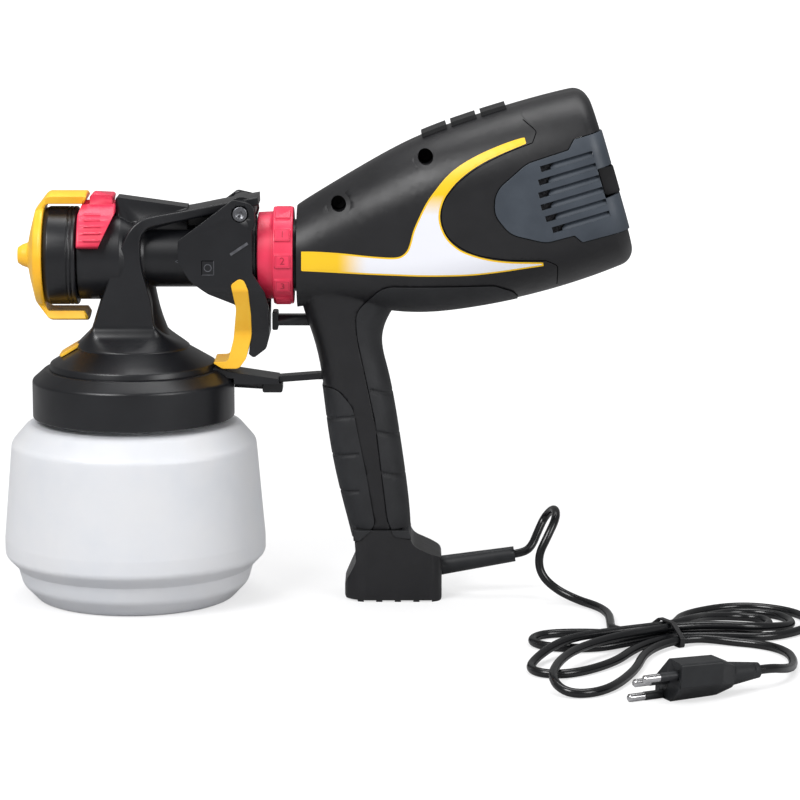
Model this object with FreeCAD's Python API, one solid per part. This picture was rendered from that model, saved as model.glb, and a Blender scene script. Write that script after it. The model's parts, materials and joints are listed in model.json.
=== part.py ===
import FreeCAD, Part

import math
import os

from FreeCAD import Vector

# Hand-held turbine paint sprayer, standing on its container and on the foot of its handle.
# Millimetres. +Z is up, the jet leaves towards -X, and the origin is the middle of the container's base.

# Fits and gaps
running_gap = 0.05  # radial play of a pin that turns in its hole
moving_gap = 0.4  # between pieces that move past each other
panel_gap = 0.4  # round a removable cover
touch_gap = 0.3  # between loose pieces that nearly touch

# Container, a blow-moulded bottle
bottle_wall = 1.8
bottle_base_radius = 54.0
bottle_foot_radius = 62.5
bottle_waist_radius = 65.0
bottle_waist_height = 18.0
bottle_belly_radius = 71.8
bottle_belly_height = 31.0
bottle_shoulder_radius = 67.2
bottle_shoulder_height = 87.0
bottle_neck_radius = 46.5
bottle_neck_start = 99.0
bottle_height = 117.0

# Lid of the container
lid_radius = 55.3
lid_skirt_bottom = 101.0
lid_shoulder_height = 121.5
lid_top_radius = 48.5
lid_top = 127.5
lid_bore_gap = 0.7
gasket_width = 4.5
gasket_thickness = 2.0

# Spray axis and stations along it
barrel_height = 189.5
barrel_radius = 17.3
barrel_bore = 14.0
collar_seat_radius = 24.0
nut_front = -46.2
nut_length = 17.6
nut_radius = 26.8
nut_lip = 2.6
nut_lip_bore = 19.0
barrel_shoulder = -5.0
barrel_taper_end = 8.0
neck_start = 68.4
neck_flange = 2.4
neck_flange_radius = 22.0
neck_radius = 19.6
neck_end = 100.0
tail_radius = 17.0

# Nozzle, needle and what carries them
cap_hub_front = -62.0
cap_hub_radius = 5.9
cap_face = -54.6
cap_rim_radius = 28.0
cap_hole_radius = 3.8
ear_inner_radius = 31.0
ear_outer_radius = 35.4
ear_rear = -22.6
ear_angle = 40.0
nozzle_front = -60.5
nozzle_bore = 1.2
nozzle_tip_radius = 2.8
nozzle_rear = -32.0
nozzle_base_radius = 11.0
fluid_tube_radius = 6.0
fluid_tube_bore = 3.2
fluid_tube_end = 16.0
packing_length = 4.0
needle_radius = 1.5
needle_end = 56.0
yoke_station = 42.0
yoke_radius = 2.2
yoke_reach = 23.6
spring_start = 47.0
spring_end = 63.0
spring_radius = 6.5
spring_wire = 1.4
spring_turns = 6
needle_travel = 5.0

# Jet switch, the ribbed collar behind the nut
switch_front = -27.6
switch_rear = -7.6
switch_outer_radius = 30.2
switch_half_angle = 75.0
crest_front = -21.6
crest_rear = -8.6
crest_radius = 34.3
crest_half_width = 9.0
rib_count = 5
rib_height = 0.9
rib_width = 1.2
rib_length = 8.6

# Column, top flange and rear arm of the spray head
flange_half_width = 13.0
flange_thickness = 4.4
web_half_width = 4.0
column_bore_gap = 0.3
arm_half_width = 11.0
arm_end = 80.0
arm_bottom = 119.8
arm_notch_floor = 123.0

# Trigger
pivot_x = 60.5
pivot_z = 215.0
pivot_radius = 2.5
pivot_lug_radius = 7.6
trigger_boss_radius = 6.2
trigger_half_width = 27.4
trigger_wall = 3.0
lever_half_width = 14.0
lever_throat = 157.5
pad_skin = 1.0
trigger_swing = 10.0  # degrees

# Lock ring between the spray head and the motor end
ring_front = 69.2
ring_step = 77.6
ring_rear = 88.6
ring_front_radius = 23.5
ring_radius = 26.5
ring_pad_count = 5
ring_pad_pitch = 31.0
ring_pad_height = 0.8

# Motor end: its axis rises to the rear
housing_front = 90.4
housing_front_height = 188.5
housing_tilt = 16.5
housing_length = 176.0
housing_wall = 3.0
housing_front_radius = 27.6
housing_half_width = 43.0
housing_edge_radius = 9.0
grip_depth = 1.4
grip_proud = 0.6
seam_tip = 168.3

# Handle and foot
handle_half_width = 17.0
foot_half_width = 20.0
foot_front = 116.0
foot_rear = 169.3
foot_height = 24.0
foot_ribs = 5

# Filter covers, their latches and the screws
cover_proud = 1.0
cover_thickness = 2.6
cover_inner_y = 26.0
slot_count = 6
slot_pitch = 6.6
slot_height = 3.2
foam_thickness = 7.0
screw_hole_radius = 4.1
screw_radius = 1.9

# Turbine and motor inside, along the tilted axis
shaft_radius = 3.0
impeller_radius = 28.0
impeller_gap = 1.2
casing_wall = 2.0
blade_count = 9
blade_height = 7.0
duct_rear_radius = 17.0
turbine_front = 50.0
turbine_rear = 76.0
motor_radius = 21.0
motor_front = 79.0
motor_length = 46.0

# Switch rod and the link under it
rod_height = 154.0
rod_thickness = 5.6
rod_head_height = 10.0
rod_travel = 11.2
rod_head_front = 76.6
link_height = 121.5
link_thickness = 3.4
link_half_width = 4.5

# Cord
cord_diameter = 4.6
relief_length = 41.0
relief_root_radius = 5.3
relief_tip_radius = 4.2
hank_x = 285.4
hank_y = -108.0
hank_heading = 28.0
tie_width = 2.6
tie_thickness = 0.9
strand_pitch = 5.4

# Plug, with three round pins
plug_heading = 206.0
plug_roll = 42.0
plug_length = 36.0
plug_width = 34.0
plug_thickness = 17.0
plug_relief_length = 17.0
pin_radius = 2.0
pin_length = 19.0
pin_spacing = 9.5
pin_offset = 3.0


def in_xz(a, b):
    return Vector(a, 0, b)


def in_xy(a, b):
    return Vector(a, b, 0)


def in_yz(a, b):
    return Vector(0, a, b)


def outline(corners, to_space=in_xz):
    """A closed face through corners (a, b) or (a, b, radius); a rounding takes at most 0.48 of a side."""
    places = [Vector(corner[0], corner[1], 0) for corner in corners]
    pieces = []
    for i, corner in enumerate(corners):
        here = places[i]
        back, ahead = places[i - 1] - here, places[(i + 1) % len(corners)] - here
        if len(corner) < 3 or corner[2] <= 0:
            pieces.append((here, None, here))
            continue
        shorter = min(back.Length, ahead.Length)
        half = back.getAngle(ahead) / 2
        reach = min(corner[2] / math.tan(half), 0.48 * shorter)
        radius = reach * math.tan(half)
        back.normalize()
        ahead.normalize()
        middle = (back + ahead).normalize() * (radius / math.sin(half) - radius)
        pieces.append((here + back * reach, here + middle, here + ahead * reach))
    edges = []
    for i, (start, middle, end) in enumerate(pieces):
        last = pieces[i - 1][2]
        if (start - last).Length > 1e-6:
            edges.append(Part.LineSegment(to_space(last.x, last.y), to_space(start.x, start.y)).toShape())
        if middle is not None:
            arc = Part.Arc(to_space(start.x, start.y), to_space(middle.x, middle.y), to_space(end.x, end.y))
            edges.append(arc.toShape())
    return Part.Face(Part.Wire(edges))


def slab(face, low, high, direction=Vector(0, 1, 0)):
    """The face extruded from low to high along a direction."""
    moved = face.copy()
    moved.translate(direction * low)
    return moved.extrude(direction * (high - low))


def box(x, y, z):
    """A block from pairs (low, high) along each axis."""
    return Part.makeBox(x[1] - x[0], y[1] - y[0], z[1] - z[0], Vector(x[0], y[0], z[0]))


def turned_about_barrel(corners):
    """A ring or body of revolution round the spray axis, from corners (x, radius[, rounding])."""
    face = outline([(c[0], barrel_height + c[1], *c[2:]) for c in corners])
    return face.revolve(Vector(0, 0, barrel_height), Vector(1, 0, 0), 360)


def turned_about_z(corners):
    face = outline(corners)
    return face.revolve(Vector(0, 0, 0), Vector(0, 0, 1), 360)


def tube_along_x(radius, bore, start, end, height=barrel_height):
    outer = Part.makeCylinder(radius, end - start, Vector(start, 0, height), Vector(1, 0, 0))
    if bore <= 0:
        return outer
    return outer.cut(Part.makeCylinder(bore, end - start, Vector(start, 0, height), Vector(1, 0, 0)))


def mirrored(shape):
    """The same piece on the other side of the middle plane."""
    return shape.mirror(Vector(0, 0, 0), Vector(0, 1, 0))


def fused(shapes):
    whole = shapes[0].multiFuse(shapes[1:]) if len(shapes) > 1 else shapes[0]
    return whole.removeSplitter()


def on_motor_axis(shape):
    """Moves a piece made along +X from the origin onto the tilted axis of the motor end."""
    moved = shape.copy()
    moved.rotate(Vector(0, 0, 0), Vector(0, 1, 0), -housing_tilt)
    moved.translate(Vector(housing_front, 0, housing_front_height))
    return moved


def motor_point(u, v):
    """(x, z) of a point u along the motor end's axis and v above it."""
    tilt = math.radians(housing_tilt)
    return (housing_front + u * math.cos(tilt) - v * math.sin(tilt),
            housing_front_height + u * math.sin(tilt) + v * math.cos(tilt))


# Container and lid


def bottle_profile(inset):
    """Half section of the bottle, inset by a wall; the waist is the groove above the foot."""
    floor = inset
    top = bottle_height + (5 if inset else 0)
    return [
        (0, floor),
        (bottle_base_radius - inset, floor, 5),
        (bottle_foot_radius - inset, 9, 8),
        (bottle_waist_radius - inset, bottle_waist_height, 1.5),
        (bottle_belly_radius - inset, bottle_belly_height - 6, 5),
        (bottle_belly_radius - inset, bottle_belly_height + 3, 9),
        (bottle_shoulder_radius - inset, bottle_shoulder_height, 7),
        (bottle_shoulder_radius - 9 - inset, bottle_neck_start - 1.5, 7),
        (bottle_neck_radius - inset, bottle_neck_start - inset, 1.5),
        (bottle_neck_radius - inset, top),
        (0, top),
    ]


def make_container():
    shell = turned_about_z(bottle_profile(0)).cut(turned_about_z(bottle_profile(bottle_wall)))
    recess = Part.makeCylinder(bottle_base_radius - 12, 0.8)
    thread = Part.makeTorus(bottle_neck_radius, 0.6, Vector(0, 0, bottle_height - 8))
    return shell.cut(recess).fuse(thread)


gasket_bottom = bottle_height + 0.02
lid_bore_top = gasket_bottom + gasket_thickness
pickup_radius = 4.0
pickup_x = -2.0
pickup_bottom = 7.0


def lid_profile():
    """Half section of the lid's outside."""
    return [
        (0, lid_skirt_bottom), (lid_radius, lid_skirt_bottom, 0.8), (lid_radius, lid_shoulder_height, 2.5),
        (lid_top_radius, lid_top, 2.0), (0, lid_top),
    ]


def make_cup_lid():
    bore = bottle_neck_radius + lid_bore_gap
    body = turned_about_z(lid_profile()).cut(Part.makeCylinder(bore, lid_bore_top - lid_skirt_bottom,
                                                              Vector(0, 0, lid_skirt_bottom)))
    hole = Part.makeCylinder(pickup_radius + column_bore_gap, 40, Vector(pickup_x, 0, lid_bore_top - 5))
    return body.cut(hole).cut(make_rear_arm())


def make_lid_gasket():
    outer = Part.makeCylinder(bottle_neck_radius + 0.4, gasket_thickness, Vector(0, 0, gasket_bottom))
    inner = Part.makeCylinder(bottle_neck_radius + 0.4 - gasket_width, gasket_thickness,
                              Vector(0, 0, gasket_bottom))
    return outer.cut(inner)


def make_pickup_tube():
    top = barrel_height - fluid_tube_radius + 1.2
    tube = Part.makeCylinder(pickup_radius, top - pickup_bottom, Vector(pickup_x, 0, pickup_bottom))
    bore = Part.makeCylinder(pickup_radius - 1.2, top - pickup_bottom, Vector(pickup_x, 0, pickup_bottom))
    tube = tube.cut(bore)
    seat = Part.makeCylinder(fluid_tube_radius, 40, Vector(pickup_x - 20, 0, barrel_height), Vector(1, 0, 0))
    return tube.cut(seat)


# Spray head


def column_section(z, front, rear, half_width):
    """A rounded rectangle at one height of the column."""
    rounding = 0.45 * min(rear - front, 2 * half_width)
    face = outline([
        (front, -half_width, rounding), (rear, -half_width, rounding),
        (rear, half_width, rounding), (front, half_width, rounding),
    ], in_xy)
    face.translate(Vector(0, 0, z))
    return face.OuterWire


def flange_outline():
    """The bent flange that runs up the column and back over the barrel to the trigger's pivot."""
    end_x = pivot_x + pivot_lug_radius + 1.0
    return outline([
        (-17, 168), (-8.4, 190), (-4, 200, 8), (6, 208.5, 8), (30.8, 215.0), (end_x, 222.6, 0.8),
        (end_x, 222.6 - flange_thickness, 0.8), (31.5, 215.0 - flange_thickness, 20),
        (9, 208.5 - flange_thickness, 6), (2, 200, 6), (-3, 190), (-10, 168),
    ])


def make_rear_arm():
    """Arm from the column over the lid to the link; it lies in a notch of the lid's rim."""
    beside_lid = lid_radius + touch_gap
    return slab(outline([
        (0, 142, 4), (21.2, 142.5, 8), (26, 136.6, 12), (43.5, 129.8, 30), (55, 126.4, 40), (arm_end, 122.6),
        (arm_end, arm_bottom), (beside_lid, arm_bottom), (beside_lid, arm_notch_floor), (30, arm_notch_floor),
        (30, lid_top), (0, lid_top),
    ]), -arm_half_width, arm_half_width)


def make_spray_head():
    column = Part.makeLoft([
        column_section(lid_top, -31, 26, 25), column_section(lid_top + 14, -25, 22.5, 19.5),
        column_section(155, -20.5, 17.0, 16.5), column_section(171, -15.5, 13.0, 15.0),
        column_section(barrel_height, -9.5, 6.0, 14.0),
    ], True, False)
    dome = turned_about_z([
        (0, lid_top), (lid_top_radius - 2.5, lid_top), (lid_top_radius - 3.2, lid_top + 3.2, 1.5),
        (17, lid_top + 20, 4), (0, lid_top + 20),
    ])
    body = turned_about_barrel([
        (nut_front + nut_length + touch_gap, 0), (nut_front + nut_length + touch_gap, collar_seat_radius, 0.8),
        (barrel_shoulder, collar_seat_radius, 1.5), (barrel_taper_end, barrel_radius, 3),
        (neck_start - neck_flange, barrel_radius), (neck_start - neck_flange, neck_flange_radius, 0.5),
        (neck_start, neck_flange_radius, 0.5), (neck_start, neck_radius),
        (ring_rear + 1.2, neck_radius), (ring_rear + 1.2, tail_radius), (neck_end, tail_radius), (neck_end, 0),
    ])
    spigot = tube_along_x(nut_radius - 4.4, 0, nut_front + nut_lip + 5.6, nut_front + nut_length + 1)
    crown = slab(outline([
        (barrel_shoulder - 2.6, 200), (barrel_shoulder - 2.6, 222.2, 1), (31, 216.8), (31, 200),
    ]), -8.5, 8.5)
    flange = slab(flange_outline(), -flange_half_width, flange_half_width)
    web = slab(outline([
        (-6, 195), (2, 206), (31, 213), (pivot_x + 6, 219), (pivot_x + 6, 204), (40, 195),
    ]), -web_half_width, web_half_width)
    lug = Part.makeCylinder(pivot_lug_radius, 2 * flange_half_width,
                            Vector(pivot_x, -flange_half_width, pivot_z), Vector(0, 1, 0))
    body = fused([body, spigot, column, dome, crown, flange, web, lug, make_rear_arm()])
    bore = Part.makeCylinder(barrel_bore, 200, Vector(-30, 0, barrel_height), Vector(1, 0, 0))
    front_bore = Part.makeCylinder(nozzle_base_radius + 2, 30, Vector(-50, 0, barrel_height), Vector(1, 0, 0))
    riser = Part.makeCylinder(pickup_radius + column_bore_gap, barrel_height - lid_top + 2,
                              Vector(pickup_x, 0, lid_top - 2))
    pivot_hole = Part.makeCylinder(pivot_radius + running_gap, 60, Vector(pivot_x, -30, pivot_z), Vector(0, 1, 0))
    slot = slab(outline([
        (yoke_station - yoke_radius - 1.0, barrel_height - yoke_radius - 0.5, 2),
        (yoke_station + yoke_radius + 6.4, barrel_height - yoke_radius - 0.5, 2),
        (yoke_station + yoke_radius + 6.4, barrel_height + yoke_radius + 0.5, 2),
        (yoke_station - yoke_radius - 1.0, barrel_height + yoke_radius + 0.5, 2),
    ]), -30, 30)
    lid_space = turned_about_z(lid_profile()).cut(make_rear_arm())
    for tool in (bore, front_bore, riser, pivot_hole, slot, lid_space):
        body = body.cut(tool)
    spider = [box((x, x + 3), (-barrel_bore - 0.5, barrel_bore + 0.5), (barrel_height - 1.2, barrel_height + 1.2))
              for x in (-24, 8)]
    hole = Part.makeCylinder(fluid_tube_radius, 200, Vector(-60, 0, barrel_height), Vector(1, 0, 0))
    return fused([body] + [s.cut(hole) for s in spider])


def make_badge_plate():
    """A bare plate on the front slope of the dome."""
    plate = box((-8.5, 8.5), (-9.5, 9.5), (0, 1.6))
    plate = plate.makeFillet(2.0, [e for e in plate.Edges if abs(e.tangentAt(0).z) > 0.9])
    slope = math.atan2(16.8, lid_top_radius - 3.2 - 17)
    plate.rotate(Vector(0, 0, 0), Vector(0, 1, 0), -math.degrees(slope))
    middle = (lid_top_radius - 3.2 + 17) / 2
    plate.translate(Vector(-middle - 0.5, 0, lid_top + 3.2 + 8.4 - 0.6))
    return plate


def make_fluid_tube():
    tube = tube_along_x(fluid_tube_radius, fluid_tube_bore, nozzle_rear, fluid_tube_end)
    inlet = Part.makeCylinder(pickup_radius - 1.2, fluid_tube_radius, Vector(pickup_x, 0, barrel_height - fluid_tube_radius))
    return tube.cut(inlet)


def make_needle_packing():
    return tube_along_x(fluid_tube_radius, needle_radius + running_gap, fluid_tube_end,
                        fluid_tube_end + packing_length)


def make_fluid_nozzle():
    """Turned nozzle: the needle closes its narrow end, and the paint fills it from the fluid tube."""
    return turned_about_barrel([
        (nozzle_front, nozzle_bore), (nozzle_front, nozzle_tip_radius), (nozzle_front + 4, nozzle_tip_radius + 0.6, 1),
        (nozzle_front + 12.5, nozzle_base_radius, 1), (nozzle_rear, nozzle_base_radius), (nozzle_rear, 5.0),
        (nozzle_front + 9, 5.0), (nozzle_front + 3.5, nozzle_bore),
    ])


def make_nozzle_seal():
    return tube_along_x(nozzle_base_radius, fluid_tube_radius + touch_gap, nozzle_rear, nozzle_rear + 1.6)


def make_needle():
    shoulder = nozzle_front + 6.5
    rod = tube_along_x(needle_radius, 0, shoulder, needle_end)
    tip = Part.makeCone(needle_radius, 0.3, 5.5, Vector(shoulder, 0, barrel_height), Vector(-1, 0, 0))
    return fused([rod, tip])


def make_needle_yoke():
    """Cross bar that the trigger pulls, clamped on the needle by its hub."""
    bar = Part.makeCylinder(yoke_radius, 2 * yoke_reach, Vector(yoke_station, -yoke_reach, barrel_height),
                            Vector(0, 1, 0))
    hub = tube_along_x(5.0, 0, yoke_station - 4, spring_start - touch_gap)
    flange = tube_along_x(7.4, 0, spring_start - touch_gap - 2, spring_start - touch_gap)
    body = fused([bar, hub, flange])
    return body.cut(tube_along_x(needle_radius, 0, 0, 100))


def make_needle_spring():
    pitch = (spring_end - spring_start - spring_wire) / spring_turns
    height = pitch * spring_turns
    path = Part.makeHelix(pitch, height, spring_radius)
    start = Vector(spring_radius, 0, 0)
    ring = Part.Wire(Part.Circle(start, Vector(0, 1, 0), spring_wire / 2).toShape())
    coil = Part.Wire(path).makePipeShell([ring], True, True)
    coil.rotate(Vector(0, 0, 0), Vector(0, 1, 0), 90)
    coil.translate(Vector(spring_start + spring_wire / 2, 0, barrel_height))
    return coil


def make_spring_cap():
    """Plug behind the spring: a pocket that the spring works in, and a ring of holes for the air."""
    pocket_end = spring_end + needle_travel + 0.6
    cap = tube_along_x(barrel_bore - 0.02, 0, spring_end - 2, pocket_end + 2)
    cap = cap.cut(tube_along_x(spring_radius + spring_wire / 2 + 0.5, 0, spring_end - 2, pocket_end))
    for k in range(8):
        angle = math.radians(45 * k)
        place = Vector(spring_end - 3, 10.9 * math.cos(angle), barrel_height + 10.9 * math.sin(angle))
        cap = cap.cut(Part.makeCylinder(1.9, 20, place, Vector(1, 0, 0)))
    return cap


def make_cap_nut():
    spigot = nut_radius - 4.4
    body = turned_about_barrel([
        (nut_front, nut_lip_bore), (nut_front, nut_radius - 1.2, 1), (nut_front + 2.4, nut_radius, 1),
        (nut_front + nut_length, nut_radius, 1), (nut_front + nut_length, spigot + moving_gap),
        (nut_front + nut_lip, spigot + moving_gap), (nut_front + nut_lip, nut_lip_bore),
    ])
    for groove in (12.4, 14.6):
        ring = turned_about_barrel([
            (nut_front + groove, nut_radius - 0.5), (nut_front + groove, nut_radius + 1),
            (nut_front + groove + 0.9, nut_radius + 1), (nut_front + groove + 0.9, nut_radius - 0.5),
        ])
        body = body.cut(ring)
    return body


def make_air_cap():
    """Front disc with its hub, a skirt that the nut holds, and two ears that reach back over the nut."""
    back = nut_front - moving_gap
    disc = turned_about_barrel([
        (cap_hub_front, cap_hole_radius), (cap_hub_front, cap_hub_radius - 1.6, 1.2),
        (cap_hub_front + 2.4, cap_hub_radius, 1), (cap_face - 1.6, cap_hub_radius + 1.2, 1.5),
        (cap_face, 14.5, 3), (cap_face + 3.2, cap_rim_radius - 1.4, 2.5), (cap_face + 6.4, cap_rim_radius, 1),
        (back, cap_rim_radius, 0.6), (back, nut_lip_bore - moving_gap),
        (nut_front + nut_lip + moving_gap, nut_lip_bore - moving_gap),
        (nut_front + nut_lip + moving_gap, nut_radius - 5.2), (nut_front + nut_lip + 2.6, nut_radius - 5.2),
        (nut_front + nut_lip + 2.6, nozzle_base_radius + 4.5), (cap_face + 4.0, nozzle_base_radius + 3.0, 1),
        (nozzle_front + 3.4, cap_hole_radius + 0.6, 1), (nozzle_front + 1.6, cap_hole_radius),
    ])
    ear_face = outline([
        (cap_face + 3.4, barrel_height + cap_rim_radius - 5), (cap_face + 3.4, barrel_height + cap_rim_radius - 1.5, 2),
        (nut_front + 1.8, barrel_height + ear_outer_radius, 4), (ear_rear, barrel_height + ear_outer_radius, 1),
        (ear_rear - 2.4, barrel_height + ear_inner_radius, 1), (nut_front + 1.2, barrel_height + ear_inner_radius, 1.5),
        (back, barrel_height + cap_rim_radius - 0.6, 1), (back, barrel_height + cap_rim_radius - 5),
    ])
    axis = Vector(0, 0, barrel_height)
    ears = []
    for turn in (0, 180):
        face = ear_face.copy()
        face.rotate(axis, Vector(1, 0, 0), turn - ear_angle / 2)
        ears.append(face.revolve(axis, Vector(1, 0, 0), ear_angle))
    body = fused([disc] + ears)
    for side in (-1, 1):
        horn = Part.makeCylinder(1.1, 12, Vector(cap_face - 3, side * 9.5, barrel_height), Vector(1, 0, 0))
        body = body.cut(horn)
    return body


def make_jet_switch():
    """Collar over the top of the barrel: a ribbed pad on each side and a crest on top."""
    inner = collar_seat_radius + moving_gap
    face = outline([
        (switch_front, barrel_height + inner), (switch_front, barrel_height + switch_outer_radius, 1),
        (switch_rear, barrel_height + switch_outer_radius, 1), (switch_rear, barrel_height + inner),
    ])
    axis = Vector(0, 0, barrel_height)
    face.rotate(axis, Vector(1, 0, 0), -switch_half_angle)
    body = face.revolve(axis, Vector(1, 0, 0), 2 * switch_half_angle)
    low = barrel_height + switch_outer_radius * math.cos(math.radians(switch_half_angle))
    cut = slab(outline([
        (switch_rear + 1, low + 17), (switch_rear, low + 17), (switch_rear - 8.6, low - 1), (switch_rear - 8.6, low - 12),
        (switch_rear + 1, low - 12),
    ]), -50, 50)
    front_cut = slab(outline([
        (switch_front - 1, low + 13), (switch_front + 4.5, barrel_height + crest_radius + 2),
        (switch_front - 1, barrel_height + crest_radius + 2),
    ]), -50, 50)
    body = body.cut(cut).cut(front_cut)
    crest = slab(outline([
        (crest_front, barrel_height + inner + 2), (crest_front, barrel_height + crest_radius, 2),
        (crest_rear, barrel_height + crest_radius - 0.6, 1.5), (crest_rear - 1.5, barrel_height + inner + 2),
    ]), -crest_half_width, crest_half_width)
    body = fused([body, crest])
    ribs = []
    for side in (-1, 1):
        for i in range(rib_count):
            angle = 68 - 7.6 * i
            rib = box((switch_front + 4.0, switch_front + 4.0 + rib_length), (-rib_width / 2, rib_width / 2),
                      (switch_outer_radius - 1, switch_outer_radius + rib_height))
            rib.rotate(Vector(0, 0, 0), Vector(1, 0, 0), side * angle)
            rib.translate(axis)
            ribs.append(rib)
    return fused([body] + ribs)


# Trigger


def lever_front_view(half, foot_half, top, throat):
    """Outline of the trigger seen from the front: a wide saddle that narrows to the finger lever."""
    return outline([
        (-half, top), (-half, 174, 6), (-foot_half, 149, 10), (-foot_half + 1.5, 120, 4),
        (foot_half - 1.5, 120, 4), (foot_half, 149, 10), (half, 174, 6), (half, top),
    ], in_yz)


def trigger_channel(wall):
    """The space inside the saddle, open at the top, that the barrel and the lock ring pass through."""
    half = trigger_half_width - wall
    low = lever_throat + wall - trigger_wall
    face = outline([
        (-half, 240), (-half, 175.5, 6), (-9, low, 5), (9, low, 5), (half, 175.5, 6), (half, 240),
    ], in_yz)
    return slab(face, 0, 200, Vector(1, 0, 0))


def trigger_side(pad_line):
    """Side view of the black lever; its front edge follows the yellow pad below the saddle."""
    top = pivot_z
    return outline([
        (pivot_x - 3.8, top + 7.6, 3), (27, top - 14.5, 3), (27, top - 26, 3), (33.5, top - 36.5, 8),
        (43, top - 43.5, 10), (56.8, top - 49.5, 2), (64.4 + pad_line, top - 56, 6), (65.6 + pad_line, top - 66, 10),
        (64.0 + pad_line, top - 78), (66.6, top - 80.4, 2), (73.6, top - 75.0, 4), (75.2, top - 69, 4),
        (75.2, top - 51, 3), (73.4, top - 42.4, 4), (66.8, top - 32, 4), (66.8, top - 9, 1),
        (pivot_x + 8.2, top - 3, 3), (pivot_x + 7.2, top + 5, 5),
    ])


def make_trigger_body():
    saddle = slab(trigger_side(0), -60, 60)
    front = slab(lever_front_view(trigger_half_width, lever_half_width, 240, 0), 0, 200, Vector(1, 0, 0))
    body = saddle.common(front).cut(trigger_channel(trigger_wall))
    inner = flange_half_width + moving_gap
    boss = Part.makeCylinder(trigger_boss_radius, trigger_half_width - 1 - inner, Vector(pivot_x, inner, pivot_z),
                             Vector(0, 1, 0))
    dog_front = yoke_station - yoke_radius - 0.9
    dog = box((dog_front - 4, dog_front), (yoke_reach - 3.4, trigger_half_width - 1),
              (barrel_height - 5, barrel_height + 5))
    body = fused([body, boss, mirrored(boss), dog, mirrored(dog)])
    hole = Part.makeCylinder(pivot_radius + running_gap, 80, Vector(pivot_x, -40, pivot_z), Vector(0, 1, 0))
    sink = Part.makeCylinder(4.6, 10, Vector(pivot_x, trigger_half_width - 1.6, pivot_z), Vector(0, 1, 0))
    body = body.cut(hole).cut(sink).cut(mirrored(sink))
    for place in ring_path():
        body = body.cut(place)
    return body


def ring_path():
    """What the lock ring sweeps in the trigger's own frame while the trigger is pulled, with a gap round it."""
    grown = turned_about_barrel([
        (ring_front - moving_gap, 0), (ring_front - moving_gap, ring_front_radius + moving_gap),
        (ring_step - moving_gap, ring_front_radius + 0.4 + moving_gap),
        (ring_step - moving_gap, ring_radius + ring_pad_height + moving_gap),
        (ring_rear, ring_radius + ring_pad_height + moving_gap), (ring_rear, 0),
    ])
    places = []
    for share in (0.6, 0.8, 1.0):
        place = grown.copy()
        place.rotate(Vector(pivot_x, 0, pivot_z), Vector(0, 1, 0), share * trigger_swing)
        places.append(place)
    return places


def make_trigger_pad():
    """Soft finger pad: it wraps the front of the lever and ends in a forward lip."""
    top = pivot_z
    side = outline([
        (55.4, top - 38, 2), (61.5, top - 33.6, 3), (64.6, top - 41, 6), (65.7, top - 56, 20),
        (65.7, top - 68, 20), (62.6, top - 80.5, 6), (58.6, top - 86.1, 4), (49.6, top - 86.1, 4), (44.6, top - 83.0, 1.2),
        (45.6, top - 82.4, 1), (52.6, top - 82.2, 3), (55.8, top - 70, 14), (57.8, top - 52, 14),
    ])
    body = slab(side, -60, 60)
    front = slab(lever_front_view(trigger_half_width + pad_skin, lever_half_width + pad_skin, 240, 0), 0, 200,
                 Vector(1, 0, 0))
    body = body.common(front).cut(trigger_channel(trigger_wall))
    return body.cut(make_trigger_body())


def make_trigger_screw():
    shank = Part.makeCylinder(pivot_radius, 2 * trigger_half_width, Vector(pivot_x, -trigger_half_width, pivot_z),
                              Vector(0, 1, 0))
    head = Part.makeCylinder(4.0, 2.2, Vector(pivot_x, -trigger_half_width - 0.6, pivot_z), Vector(0, 1, 0))
    head = head.makeFillet(0.6, [head.Edges[2]]) if len(head.Edges) > 2 else head
    recess = Part.makeCylinder(1.6, 1.4, Vector(pivot_x, -trigger_half_width - 0.6, pivot_z), Vector(0, 1, 0))
    shank = shank.cut(box((0, 100), (trigger_half_width - 0.2, 40), (200, 230)))
    return fused([shank, head]).cut(recess)


def make_trigger_nut():
    corners = [(pivot_x + 4.2 * math.cos(math.radians(60 * k)), pivot_z + 4.2 * math.sin(math.radians(60 * k)))
               for k in range(6)]
    body = slab(outline(corners), trigger_half_width - 1.6 + 0.2, trigger_half_width + 1.2)
    return body.cut(Part.makeCylinder(pivot_radius, 80, Vector(pivot_x, -40, pivot_z), Vector(0, 1, 0)))


def make_lock_ring():
    bore = neck_radius + moving_gap
    body = turned_about_barrel([
        (ring_front, bore), (ring_front, ring_front_radius, 0.8), (ring_step, ring_front_radius + 0.4),
        (ring_step, ring_radius, 0.8), (ring_rear, ring_radius, 0.8), (ring_rear, bore),
    ])
    pads = []
    for side in (-1, 1):
        for i in range(ring_pad_count):
            angle = 28.0 + ring_pad_pitch * i
            pad = box((ring_step + 1.4, ring_rear - 1.6), (-3.6, 3.6), (ring_radius - 1.5, ring_radius + ring_pad_height))
            pad.rotate(Vector(0, 0, 0), Vector(1, 0, 0), -side * angle)
            pad.translate(Vector(0, 0, barrel_height))
            pads.append(pad)
    return fused([body] + pads)


# Motor end


def ring_section(half_width, up, down, rounding):
    """Rounded rectangle across the motor end, from down to up along its height."""
    return outline([
        (-half_width, down, rounding), (half_width, down, rounding), (half_width, up, rounding),
        (-half_width, up, rounding),
    ], in_yz).OuterWire


housing_stations = [
    # u along the axis, half width, up, down, rounding
    (14.0, 29.0, 29.0, -30.5, 27.0),
    (44.0, 35.0, 36.6, -42.5, 30.0),
    (80.0, 41.0, 43.8, -51.0, 33.0),
    (112.0, housing_half_width, 46.0, -54.0, 34.0),
    (housing_length - 12, housing_half_width, 45.6, -53.0, 34.0),
    (housing_length, housing_half_width - 1.0, 44.6, -51.6, 33.0),
]


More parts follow.
